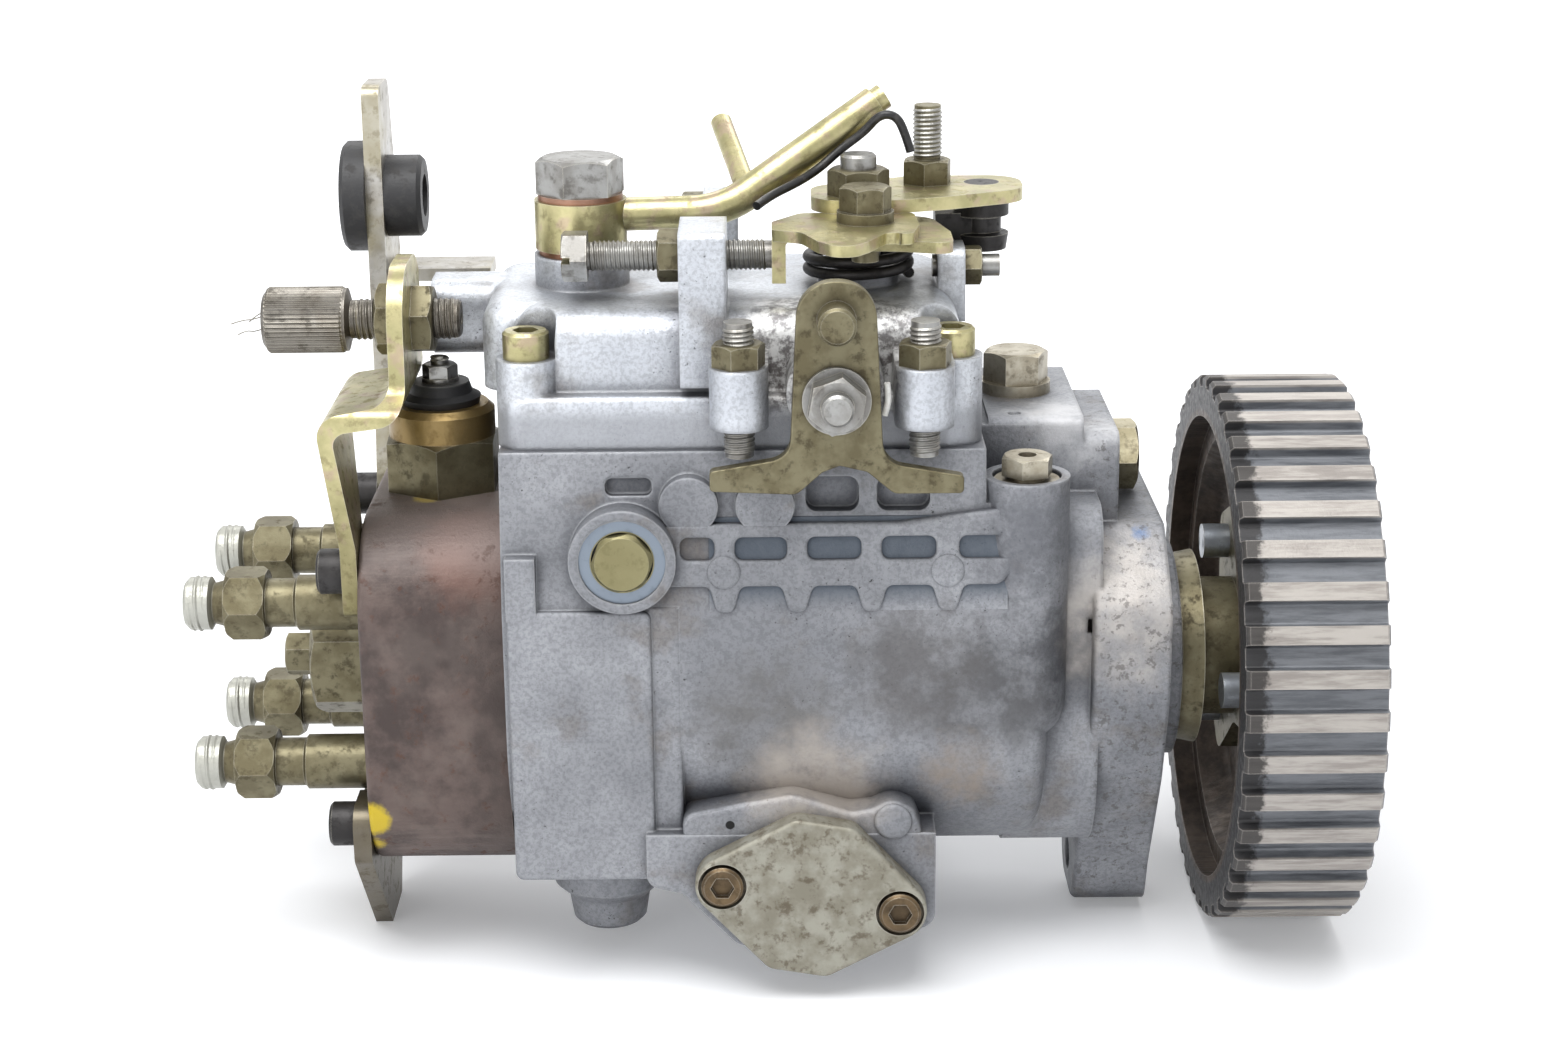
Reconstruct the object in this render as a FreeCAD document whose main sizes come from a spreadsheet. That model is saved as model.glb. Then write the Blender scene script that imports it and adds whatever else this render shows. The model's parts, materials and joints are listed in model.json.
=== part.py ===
"""Rotary distributor diesel injection pump with a toothed belt pulley, modelled in millimetres.

Origin: centre of the pilot spigot, on the front face of the mounting flange.
+X runs along the drive shaft out to the pulley, +Z is up, -Y is the side of the stop lever.
"""
import FreeCAD, Part
import math
import os

import Sketcher
from FreeCAD import Placement, Rotation, Vector

# Driving dimensions. Stations called back are measured from the flange face towards the head.
SIZES = {
    # Casting
    "flange_thick": 17.0, "flange_side_hole": 33.0, "flange_side_height": 18.0, "flange_low_hole": 52.0,
    "flange_lobe": 9.0, "flange_top": 37.0,
    "flange_hole": 4.3, "spigot_radius": 25.0, "spigot_length": 5.0,
    "head_back": 145.0, "barrel_front_back": 27.0, "barrel_half": 46.5, "barrel_floor": 40.5,
    "barrel_round": 38.0, "rim_half": 40.5, "rim_height": 59.5, "shoulder_height": 26.0,
    "neck_half": 37.0, "neck_top": 44.0, "casting_round": 5.0,
    "cavity_radius": 30.0, "chamber_half": 32.0, "chamber_floor": 20.0,
    "chamber_rear_back": 133.0, "chamber_front_back": 52.0,
    "rib_depth": 4.5, "rib_pitch": 15.9, "rib_width": 4.8, "rib_first_back": 35.9, "rib_face": 44.6,
    "rib_row_low": 36.2, "rib_row_high": 43.2, "rib_foot": 26.5, "rib_foot_top": 31.6,
    "window_low": 46.6, "window_high": 54.0, "window_left_back": 79.6,
    "side_pad_left_back": 144.0, "side_pad_right_back": 113.0, "side_pad_face": 48.0,
    "side_pad_top": 26.0, "side_pad_bottom": 36.5, "strip_right_back": 106.8, "strip_face": 46.8,
    "plug_boss_back": 118.8, "plug_boss_height": 37.4, "plug_boss_radius": 11.5,
    "plug_boss_face": 49.0, "plug_ring_radius": 9.3, "plug_ring_thick": 1.6, "plug_disc_radius": 6.6,
    "round_pad_radius": 6.3, "round_pad_height": 48.6, "round_pad_back": 104.6, "round_pad_step": 16.3,
    "rear_boss_back": 125.0, "rear_boss_side": 22.0, "rear_boss_radius": 12.6, "rear_boss_foot": 8.4,
    "rear_boss_shoulder": 47.0, "rear_boss_bottom": 57.0,
    "top_block_rear_back": 39.0, "top_block_step_back": 18.0, "top_block_front_back": 10.0,
    "top_block_near": 21.0, "top_block_far": 27.0, "top_block_height": 60.8, "top_block_low": 57.0,
    # Feed pump, shaft and seal
    "shaft_radius": 10.0, "shaft_gap": 0.05, "seal_radius": 17.5, "seal_inner": 6.5,
    "seal_outer": 4.6, "bush_radius": 13.0, "bush_back": 30.0,
    "feed_bore": 31.0, "feed_rear_back": 50.5, "feed_front_back": 30.0, "feed_plate_thick": 4.0,
    "feed_eccentric": 24.6, "feed_offset": 1.4, "feed_rotor": 21.5, "feed_side_gap": 0.3,
    "vane_thick": 2.4, "vane_stand": 22.6, "vane_foot": 13.0,
    # Drive line
    "gear_module": 1.4, "drive_teeth": 37.0, "cage_teeth": 23.0, "gear_rear_back": 60.0,
    "gear_width": 7.0, "governor_height": 42.0,
    "ring_front_back": 73.0, "ring_rear_back": 86.0, "ring_radius": 26.0, "ring_bore": 12.0,
    "ring_gap": 0.3, "roller_radius": 4.5, "roller_length": 8.0, "roller_centre": 18.5,
    "roller_stand": 2.8, "cam_gap": 0.35, "cam_lift": 2.3, "cam_thick": 6.4, "cam_radius": 23.5,
    "shaft_end_back": 82.0, "jaw_reach_back": 90.5, "jaw_width": 7.0, "jaw_inner": 4.0,
    "plunger_foot": 8.0, "plunger_foot_thick": 4.0, "plunger_radius": 5.0, "plunger_end_back": 166.0,
    "plate_thick": 3.7, "plate_radius": 23.0, "plunger_spring_side": 17.3,
    "plunger_spring_radius": 3.9, "plunger_wire": 1.1, "guide_pin_radius": 2.2,
    "collar_radius": 10.3, "collar_width": 10.0, "collar_rear_back": 119.0, "collar_groove": 7.2,
    # Governor
    "governor_shaft_radius": 3.5, "cage_radius": 15.0, "cage_rear_back": 88.0,
    "sleeve_radius": 5.5, "sleeve_nose_back": 111.0, "lever_back": 113.0, "lever_thick": 3.0,
    "lever_half": 11.0, "lever_pivot_height": 24.0, "lever_pivot_radius": 2.5, "lever_top": 64.0,
    "governor_spring_height": 61.8, "governor_spring_length": 27.0,
    # Timing device
    "timing_back": 79.0, "timing_drop": 38.5, "timing_bore": 11.0, "timing_half": 50.0,
    "timing_block_left_back": 107.0, "timing_block_right_back": 51.6, "timing_block_bottom": 53.0,
    "timing_swell": 17.0, "piston_length": 60.0, "piston_travel": 8.06, "piston_gap": 0.05,
    "ring_pin_radius": 2.9, "timing_cover_thick": 5.0, "timing_screw_pitch": 19.7,
    "timing_cover_tip": 30.2, "timing_cover_half": 18.0, "timing_cover_flat": 6.5,
    "timing_cover_tilt": 9.8, "timing_screw_head": 4.6, "timing_screw_radius": 2.9,
    # Governor cover
    "cover_left_back": 144.5, "cover_right_back": 43.5, "cover_half": 39.0, "cover_ledge": 71.0,
    "cover_top": 88.0, "cover_inset": 5.0, "cover_bulge_half": 25.0, "cover_wall": 4.0,
    "cover_top_round": 7.0,
    "cover_screw_left_back": 139.0, "cover_screw_right_back": 48.0, "cover_screw_side": 32.0,
    "cover_screw_seat": 78.4, "cover_screw_head": 5.0, "cover_screw_radius": 3.0,
    "cap_head_height": 6.0, "cap_screw_length": 30.0,
    "ear_left_back": 106.0, "ear_right_back": 96.0, "ear_top": 106.0, "ear_depth": 26.0,
    "speed_screw_height": 98.0, "speed_screw_side": 21.0, "speed_screw_head_back": 131.5,
    "speed_screw_tip_back": 86.3, "idle_ear_back": 46.5, "rear_socket_end_back": 163.0,
    "rear_socket_side": 9.0, "rear_socket_height": 79.0, "rear_socket_radius": 8.6,
    "screw_radius": 3.0, "nut_flats": 10.0, "nut_height": 5.0, "thread_gap": 0.05,
    # Stop lever
    "stop_pivot_back": 73.2, "stop_pivot_height": 74.0, "stop_plate_face": 51.0, "stop_plate_thick": 3.0,
    "stop_boss_radius": 10.4, "stop_boss_face": 49.0, "stop_shaft_radius": 4.0, "stop_eye_height": 17.0,
    "stop_eye_radius": 8.0, "adjuster_left_back": 93.5, "adjuster_right_back": 54.6,
    "adjuster_side": 48.0, "adjuster_low": 67.0, "adjuster_high": 80.0, "adjuster_boss": 6.2,
    "adjuster_screw_low": 60.6, "adjuster_screw_top": 89.5,
    # Throttle lever
    "throttle_back": 67.0, "throttle_side": 2.0, "throttle_shaft_radius": 5.0, "throttle_boss": 9.0,
    "throttle_plate_low": 99.3, "throttle_plate_thick": 3.0, "stop_sheet": 2.5, "throttle_stud_back": 51.0,
    "throttle_stud_far": 12.0, "throttle_stud_top": 125.0, "throttle_reach": 28.3,
    "throttle_spring_radius": 11.3, "throttle_wire": 1.3,
    # Distributor head
    "head_thick": 32.0, "head_half": 41.0, "head_round": 22.0, "head_spigot": 6.0,
    "head_screw_side": 30.0, "head_screw_radius": 3.0, "head_screw_length": 45.0,
    "barrel_radius": 10.0, "barrel_nose_back": 121.5, "holder_side": 19.2, "holder_base": 6.25,
    "holder_tip_back": 218.3, "holder_thread": 6.0, "holder_hex_back": 209.0, "holder_hex_flats": 14.6,
    "plug_flats": 25.4, "plug_end_back": 193.0, "bleed_end_back": 200.0,
    "solenoid_back": 161.5, "solenoid_flats": 24.0, "solenoid_base": 41.0,
    # Overflow, inlet and other fittings
    "banjo_back": 128.5, "banjo_side": 2.0, "banjo_ring": 10.2, "banjo_low": 96.3, "banjo_high": 107.1,
    "banjo_flats": 17.0, "banjo_head": 8.0, "pipe_radius": 3.7, "washer_thick": 1.3,
    "inlet_back": 31.0, "inlet_side": 4.0, "inlet_flats": 13.0, "inlet_head": 7.0, "inlet_collar": 2.6,
    "valve_back": 32.0, "valve_side": 38.0, "valve_boss": 9.3, "valve_top": 53.0, "valve_flats": 10.0,
    "front_plug_side": 4.0, "front_plug_height": 45.5, "front_plug_flats": 14.5,
    # Brackets at the head
    "bracket_thick": 4.0, "strip_thick": 3.5, "adjuster_height": 82.0, "adjuster_near": 10.0,
    "knurl_radius": 7.0, "cable_thread": 4.25, "grommet_far": 42.0, "grommet_height": 100.0,
    # Belt pulley
    "pulley_rear": 13.0, "pulley_front": 43.6, "pulley_radius": 63.0, "pulley_teeth": 42.0,
    "groove_depth": 2.6, "groove_top": 5.9, "groove_root": 4.4, "rim_inner": 53.5, "rim_lip_depth": 5.0,
    "rim_bore": 48.5, "web_rear": 25.0, "web_thick": 5.0,
    "hub_radius": 16.0, "hub_arm": 33.0, "hub_bolt_circle": 24.5, "hub_bolt_radius": 4.0,
}

doc = FreeCAD.newDocument("diesel_injection_pump")
sheet = doc.addObject("Spreadsheet::Sheet", "sizes")


class Dim:
    """A length with its present value and the sheet expression that gives it."""

    def __init__(self, value, text):
        self.value = float(value)
        self.text = text

    def join(self, other, sign, flip=False):
        first, second = (dim(other), self) if flip else (self, dim(other))
        text = "(%s %s %s)" % (first.text, sign, second.text)
        if sign == "+":
            return Dim(first.value + second.value, text)
        if sign == "-":
            return Dim(first.value - second.value, text)
        if sign == "*":
            return Dim(first.value * second.value, text)
        return Dim(first.value / second.value, text)

    def __add__(self, other):
        return self.join(other, "+")

    def __radd__(self, other):
        return self.join(other, "+", True)

    def __sub__(self, other):
        return self.join(other, "-")

    def __rsub__(self, other):
        return self.join(other, "-", True)

    def __mul__(self, other):
        return self.join(other, "*")

    def __rmul__(self, other):
        return self.join(other, "*", True)

    def __truediv__(self, other):
        return self.join(other, "/")

    def __neg__(self):
        return Dim(-self.value, "(-%s)" % self.text)

    def __float__(self):
        return self.value


def dim(value):
    return value if isinstance(value, Dim) else Dim(value, "%.6f" % value)


class Sizes:
    """Named access to the sheet's cells."""

    def __getattr__(self, alias):
        return Dim(sheet.get(alias), "sizes." + alias)


for row, (alias, value) in enumerate(SIZES.items(), 1):
    sheet.set("A%d" % row, alias)
    sheet.set("B%d" % row, str(value))
    sheet.setAlias("B%d" % row, alias)
doc.recompute()
g = Sizes()

FLATS_TO_CORNERS = 1 / math.sqrt(3)
# Rotation that turns an object's own Z axis, and for turned pieces its own X axis, to a direction.
FROM_Z = {
    "X": Rotation(Vector(0, 1, 0), 90), "-X": Rotation(Vector(0, 1, 0), -90),
    "Y": Rotation(Vector(1, 0, 0), -90), "-Y": Rotation(Vector(1, 0, 0), 90),
    "Z": Rotation(), "-Z": Rotation(Vector(1, 0, 0), 180),
}
FROM_X = {
    "X": Rotation(), "-X": Rotation(Vector(0, 0, 1), 180),
    "Y": Rotation(Vector(0, 0, 1), 90), "-Y": Rotation(Vector(0, 0, 1), -90),
    "Z": Rotation(Vector(0, 1, 0), -90), "-Z": Rotation(Vector(0, 1, 0), 90),
}
PLANES = {
    "XY": Rotation(), "XZ": Rotation(Vector(1, 0, 0), 90), "YZ": Rotation(Vector(1, 1, 1), 120),
}


def bind(thing, path, value):
    """Ties one property to the sheet."""
    value = dim(value)
    thing.setExpression(path, value.text)


def put(thing, at, rotation):
    """Places an object, with each coordinate tied to the sheet."""
    thing.Placement = Placement(Vector(*[float(v) for v in at]), rotation)
    for letter, value in zip("xyz", at):
        if isinstance(value, Dim):
            bind(thing, ".Placement.Base." + letter, value)
    return thing


def cylinder(name, radius, height, at=(0, 0, 0), axis="X"):
    thing = doc.addObject("Part::Cylinder", name)
    bind(thing, "Radius", radius)
    bind(thing, "Height", height)
    return put(thing, at, FROM_Z[axis])


def box(name, low, high):
    """A block between two corners."""
    thing = doc.addObject("Part::Box", name)
    for side, a, b in zip(("Length", "Width", "Height"), low, high):
        bind(thing, side, dim(b) - dim(a))
    return put(thing, low, Rotation())


def ball(name, radius, at):
    thing = doc.addObject("Part::Sphere", name)
    bind(thing, "Radius", radius)
    return put(thing, at, Rotation())


def fuse(name, *things):
    thing = doc.addObject("Part::MultiFuse", name)
    thing.Shapes = list(things)
    thing.Refine = True
    return thing


def cut(name, base, *tools):
    tool = tools[0] if len(tools) == 1 else fuse(name + "_tools", *tools)
    thing = doc.addObject("Part::Cut", name)
    thing.Base = base
    thing.Tool = tool
    thing.Refine = True
    return thing


def common(name, *things):
    thing = doc.addObject("Part::MultiCommon", name)
    thing.Shapes = list(things)
    return thing


def group(name, things):
    """Separate like solids kept in one node."""
    thing = doc.addObject("Part::Compound", name)
    thing.Links = list(things)
    return thing


def new_sketch(body, name, plane="XY_Plane"):
    sketch = body.newObject("Sketcher::SketchObject", name)
    support = [item for item in body.Origin.OriginFeatures if item.Role == plane][0]
    sketch.AttachmentSupport = (support, [""])
    sketch.MapMode = "FlatFace"
    return sketch


def pin_point(sketch, label, item, point, corner):
    """Holds a sketch point at a corner whose coordinates come from the sheet."""
    for kind, letter, value in (("DistanceX", "x", corner[0]), ("DistanceY", "y", corner[1])):
        value = dim(value)
        index = sketch.addConstraint(Sketcher.Constraint(kind, -1, 1, item, point, value.value))
        sketch.renameConstraint(index, label + letter)
        sketch.setExpression("Constraints." + label + letter, value.text)


def draw_outline(sketch, corners, label):
    """Draws a closed outline: each corner is (u, v) or (u, v, radius of its tangent arc)."""
    count = len(corners)
    points = [Vector(float(c[0]), float(c[1]), 0) for c in corners]
    starts, ends, arcs = [], [], []
    for i, corner in enumerate(corners):
        radius = float(corner[2]) if len(corner) > 2 else 0.0
        here = points[i]
        if not radius:
            starts.append(here)
            ends.append(here)
            arcs.append(None)
            continue
        back = (points[i - 1] - here).normalize()
        ahead = (points[(i + 1) % count] - here).normalize()
        half = back.getAngle(ahead) / 2
        starts.append(here + back * (radius / math.tan(half)))
        ends.append(here + ahead * (radius / math.tan(half)))
        arcs.append(here + (back + ahead).normalize() * (radius / math.sin(half)))
    lines = []
    for i in range(count):
        line = Part.LineSegment(ends[i], starts[(i + 1) % count])
        lines.append(sketch.addGeometry(line, False))
    for i, centre in enumerate(arcs):
        before, after, tag = lines[i - 1], lines[i], "%s%d" % (label, i)
        if centre is None:
            sketch.addConstraint(Sketcher.Constraint("Coincident", before, 2, after, 1))
            pin_point(sketch, tag, after, 1, corners[i])
            continue
        first, last = starts[i] - centre, ends[i] - centre
        turn_left = first.cross(last).z > 0
        a0, a1 = math.atan2(first.y, first.x), math.atan2(last.y, last.x)
        circle = Part.Circle(centre, Vector(0, 0, 1), float(corners[i][2]))
        arc = Part.ArcOfCircle(circle, a0, a1) if turn_left else Part.ArcOfCircle(circle, a1, a0)
        item = sketch.addGeometry(arc, False)
        entry, leave = (1, 2) if turn_left else (2, 1)
        point = sketch.addGeometry(Part.Point(points[i]), True)
        sketch.addConstraint(Sketcher.Constraint("Tangent", before, 2, item, entry))
        sketch.addConstraint(Sketcher.Constraint("Tangent", item, leave, after, 1))
        sketch.addConstraint(Sketcher.Constraint("PointOnObject", point, 1, before))
        sketch.addConstraint(Sketcher.Constraint("PointOnObject", point, 1, after))
        pin_point(sketch, tag, point, 1, corners[i])
        radius = dim(corners[i][2])
        index = sketch.addConstraint(Sketcher.Constraint("Radius", item, radius.value))
        sketch.renameConstraint(index, tag + "r")
        sketch.setExpression("Constraints." + tag + "r", radius.text)


def draw_circle(sketch, centre, radius, label):
    radius = dim(radius)
    middle = Vector(float(centre[0]), float(centre[1]), 0)
    item = sketch.addGeometry(Part.Circle(middle, Vector(0, 0, 1), radius.value), False)
    index = sketch.addConstraint(Sketcher.Constraint("Radius", item, radius.value))
    sketch.renameConstraint(index, label + "r")
    sketch.setExpression("Constraints." + label + "r", radius.text)
    pin_point(sketch, label, item, 3, centre)


def pad(name, outline, length, plane="XY", at=(0, 0, 0), spin=0.0, holes=()):
    """A plate or block: an outline, with round holes (u, v, radius), pushed out along its normal."""
    body = doc.addObject("PartDesign::Body", name)
    sketch = new_sketch(body, name + "_outline")
    draw_outline(sketch, outline, "c")
    for i, (u, v, radius) in enumerate(holes):
        draw_circle(sketch, (u, v), radius, "h%d" % i)
    feature = body.newObject("PartDesign::Pad", name + "_pad")
    feature.Profile = sketch
    bind(feature, "Length", length)
    return put(body, at, PLANES[plane] * Rotation(Vector(0, 0, 1), spin))


def turned(name, profile, at=(0, 0, 0), axis="X"):
    """A piece turned about its own axis: the profile's points are (station, radius)."""
    body = doc.addObject("PartDesign::Body", name)
    sketch = new_sketch(body, name + "_profile")
    draw_outline(sketch, profile, "c")
    feature = body.newObject("PartDesign::Revolution", name + "_turn")
    feature.Profile = sketch
    feature.ReferenceAxis = (sketch, ["H_Axis"])
    feature.Angle = 360
    return put(body, at, FROM_X[axis])


def soften(body, radius, chosen):
    """Rounds the edges of a body's last feature that the test picks, in the body's own axes."""
    doc.recompute()
    tip = body.Tip
    names = ["Edge%d" % (i + 1) for i, edge in enumerate(tip.Shape.Edges) if chosen(edge)]
    feature = body.newObject("PartDesign::Fillet", "%s_round_%d" % (body.Name, len(body.Group)))
    feature.Base = (tip, names)
    bind(feature, "Radius", radius)
    return body


def far_end(length):
    """Picks the edges at the end of a pad of that length."""
    return lambda edge: edge.BoundBox.ZMin > float(length) - 0.01


def hexagon(name, flats, height, at, axis="X", turn=0.0):
    thing = doc.addObject("Part::Prism", name)
    thing.Polygon = 6
    bind(thing, "Circumradius", flats * FLATS_TO_CORNERS)
    bind(thing, "Height", height)
    return put(thing, at, FROM_Z[axis] * Rotation(Vector(0, 0, 1), turn))


def hex_head(name, flats, height, at, axis="X", turn=0.0):
    """A hexagon whose outer corners are chamfered, its chamfer on the side it points to."""
    flats, height = dim(flats), dim(height)
    corner = flats * FLATS_TO_CORNERS
    crown = turned(name + "_crown", [
        (0, 0), (0, corner), (height - (corner - flats * 0.48) * 0.55, corner),
        (height, flats * 0.48), (height, 0),
    ], at, axis)
    return common(name, hexagon(name + "_hexagon", flats, height, at, axis, turn), crown)


def nut(name, flats, height, bore, at, axis="X", turn=0.0):
    return cut(name, hex_head(name + "_blank", flats, height, at, axis, turn),
               cylinder(name + "_bore", bore, height, at, axis))


def cap_screw(name, head, head_height, shank, length, at, axis, socket):
    """A socket screw: at is the seat under its head, axis is the way its head points."""
    blank = turned(name + "_blank", [
        (-dim(length), 0), (-dim(length), shank), (0, shank), (0, head),
        (dim(head_height) - 0.6, head), (head_height, dim(head) - 0.6), (head_height, 0),
    ], at, axis)
    step = {"X": (1, 0, 0), "Y": (0, 1, 0), "Z": (0, 0, 1)}[axis[-1]]
    sign = -1 if axis[0] == "-" else 1
    start = [dim(a) + dim(head_height) * (0.5 * sign * s) for a, s in zip(at, step)]
    return cut(name, blank, hexagon(name + "_socket", socket, head_height, start, axis))


def polygon_coil(name, radius, wire, length, turns, at, axis="X", sides=10):
    """A compression spring of round wire laid in short straight chords, with open ends."""
    count = int(turns * sides)
    steps = [i / count for i in range(count + 1)]
    path = Part.makePolygon([
        Vector(float(radius) * math.cos(2 * math.pi * turns * s),
               float(radius) * math.sin(2 * math.pi * turns * s),
               float(wire) + (float(length) - 2 * float(wire)) * s) for s in steps])
    first = path.Vertexes[1].Point - path.Vertexes[0].Point
    ring = [Vector(float(wire) * math.cos(math.pi * k / 3), float(wire) * math.sin(math.pi * k / 3), 0)
            for k in range(6)]
    turn = Rotation(Vector(0, 0, 1), first)
    section = Part.makePolygon([path.Vertexes[0].Point + turn.multVec(p) for p in ring + ring[:1]])
    thing = doc.addObject("Part::Feature", name)
    thing.Shape = Part.Wire(path.Edges).makePipeShell([section], True, True, 1)
    return put(thing, at, FROM_Z[axis])


# Positions used by several pieces
x_head = -g.head_back
x_timing = -g.timing_back
x_head_rear = x_head - g.head_thick
x_bracket = x_head_rear - g.bracket_thick
ring_rest_angle = math.degrees(math.atan(float(g.piston_travel) / 2 / float(g.timing_drop)))
pin_side = -g.piston_travel / 2


# Main casting

def flange_outline():
    """Mounting flange: two lobes at the sides, a longer one at the bottom, flat on top."""
    side, up, low = g.flange_side_hole, g.flange_side_height, g.flange_low_hole
    lobe = g.flange_lobe
    half = [(side * 0.72, g.flange_top, 4), (side + lobe * 0.9, up + lobe * 0.55, 7),
            (side + lobe * 0.9, 2, 14),
            (side, -20, 16), (lobe + 7, -low + 4, 12), (lobe + 2, -low - lobe, 9)]
    return half + [(-y, *rest) for y, *rest in reversed(half)]


def make_casting():
    top = g.rim_height
    barrel_length = g.head_back - g.barrel_front_back
    barrel = pad("casting_barrel", [
        (-g.rim_half, top), (-g.barrel_half, g.shoulder_height, 14),
        (-g.barrel_half, -g.barrel_floor, g.barrel_round), (g.barrel_half, -g.barrel_floor, g.barrel_round),
        (g.barrel_half, g.shoulder_height, 14), (g.rim_half, top),
    ], barrel_length, "YZ", (x_head, 0, 0))
    edge_at_front = far_end(barrel_length)
    soften(barrel, g.casting_round, lambda e: edge_at_front(e) and e.BoundBox.YMin < 58)
    neck = pad("casting_neck", [
        (-g.neck_half, g.neck_top, 8), (-g.neck_half, -g.barrel_floor, 24),
        (g.neck_half, -g.barrel_floor, 24), (g.neck_half, g.neck_top, 8),
    ], 20, "YZ", (-g.barrel_front_back - 8, 0, 0))
    flange = pad("casting_flange", flange_outline(), g.flange_thick, "YZ", (-g.flange_thick, 0, 0))
    soften(flange, 1.5, lambda e: e.BoundBox.ZMax < 0.01)
    spigot = cylinder("casting_spigot", g.spigot_radius, g.spigot_length)
    top_block = pad("casting_top_block", [
        (-g.top_block_near, 30), (-g.top_block_near, g.top_block_height, 2),
        (g.top_block_far, g.top_block_height, 2), (g.top_block_far, 30),
    ], g.top_block_rear_back - g.top_block_step_back, "YZ", (-g.top_block_rear_back - 8, 0, 0))
    bind(top_block, ".Placement.Base.x", -g.top_block_rear_back)
    low_block = pad("casting_low_block", [
        (-g.top_block_near, 30), (-g.top_block_near, g.top_block_low, 3),
        (g.top_block_far - 6, g.top_block_low, 3), (g.top_block_far - 6, 30),
    ], g.top_block_step_back - g.top_block_front_back + 2, "YZ", (-g.top_block_step_back - 2, 0, 0))
    return [barrel, neck, flange, spigot, top_block, low_block]


def make_side_forms():
    """Pads, bosses and the timing block that stand out from the barrel."""
    pad_length = g.side_pad_face - 30
    side_pad = pad("side_pad", [
        (-g.side_pad_left_back, -g.side_pad_bottom, 2), (-g.side_pad_left_back, g.side_pad_top, 1.5),
        (-g.side_pad_right_back, g.side_pad_top, 2), (-g.side_pad_right_back, -g.side_pad_bottom, 1.5),
    ], pad_length, "XZ", (0, -30, 0))
    soften(side_pad, 0.8, far_end(pad_length))
    strip_length = g.strip_face - 30
    strip = pad("side_strip", [
        (-g.side_pad_right_back - 1, -g.side_pad_bottom + 0.6),
        (-g.side_pad_right_back - 1, g.side_pad_top + 0.8),
        (-g.strip_right_back, g.side_pad_top + 0.8), (-g.strip_right_back, -g.side_pad_bottom + 0.6, 1.2),
    ], strip_length, "XZ", (0, -30, 0))
    soften(strip, 0.8, far_end(strip_length))
    tab = box("side_tab", (-g.side_pad_left_back, -g.side_pad_face, g.side_pad_top - 2),
              (-g.side_pad_left_back + 6.5, -30, 38))
    boss_length = g.plug_boss_face - 25
    boss = cylinder("plug_boss", g.plug_boss_radius, boss_length,
                    (-g.plug_boss_back, -25, g.plug_boss_height), "-Y")
    round_pads = [
        cylinder("round_pad_%d" % (i + 1), g.round_pad_radius, g.rib_face - 24.5,
                 (-g.round_pad_back + i * g.round_pad_step, -25, g.round_pad_height), "-Y")
        for i in range(2)
    ]
    rear_boss = turned("rear_boss", [
        (30, 0), (30, g.rear_boss_radius), (g.rear_boss_shoulder, g.rear_boss_radius),
        (g.rear_boss_shoulder + 3, g.rear_boss_foot + 1), (g.rear_boss_bottom - 1, g.rear_boss_foot),
        (g.rear_boss_bottom, g.rear_boss_foot - 1), (g.rear_boss_bottom, 0),
    ], (-g.rear_boss_back, -g.rear_boss_side, 0), "-Z")
    block = pad("timing_block", [
        (-g.timing_block_left_back - 8, -25), (-g.timing_block_left_back - 8, -37, 3),
        (-g.timing_block_left_back, -39, 2),
        (-g.timing_block_left_back + 12, -g.timing_block_bottom + 1.5, 4),
        (-g.timing_block_left_back + 33, -g.timing_block_bottom, 4),
        (-g.timing_block_right_back, -g.timing_block_bottom + 6, 4), (-g.timing_block_right_back, -25),
    ], g.timing_half * 2, "XZ", (0, g.timing_half, 0))
    swell = cylinder("timing_swell", g.timing_swell, g.timing_half * 2,
                     (x_timing, -g.timing_half, -g.timing_drop), "Y")
    return [side_pad, strip, tab, boss, rear_boss, block, swell] + round_pads


def front_steps():
    """Lowers the casting on both sides of the top block, in front of the cover."""
    x_step, low, high = -g.cover_right_back + 2.5, g.valve_top - 5, g.rim_height + 5
    return [box("step_near", (x_step, -60, low), (-5, -g.top_block_near, high)),
            box("step_far", (x_step, g.top_block_far, low), (-5, 60, high))]


def valve_column():
    column = cylinder("valve_boss", g.valve_boss, g.valve_top - 2, (-g.valve_back, -g.valve_side, 2), "Z")
    return [column, ball("valve_boss_foot", g.valve_boss, (-g.valve_back, -g.valve_side, 2))]


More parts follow.
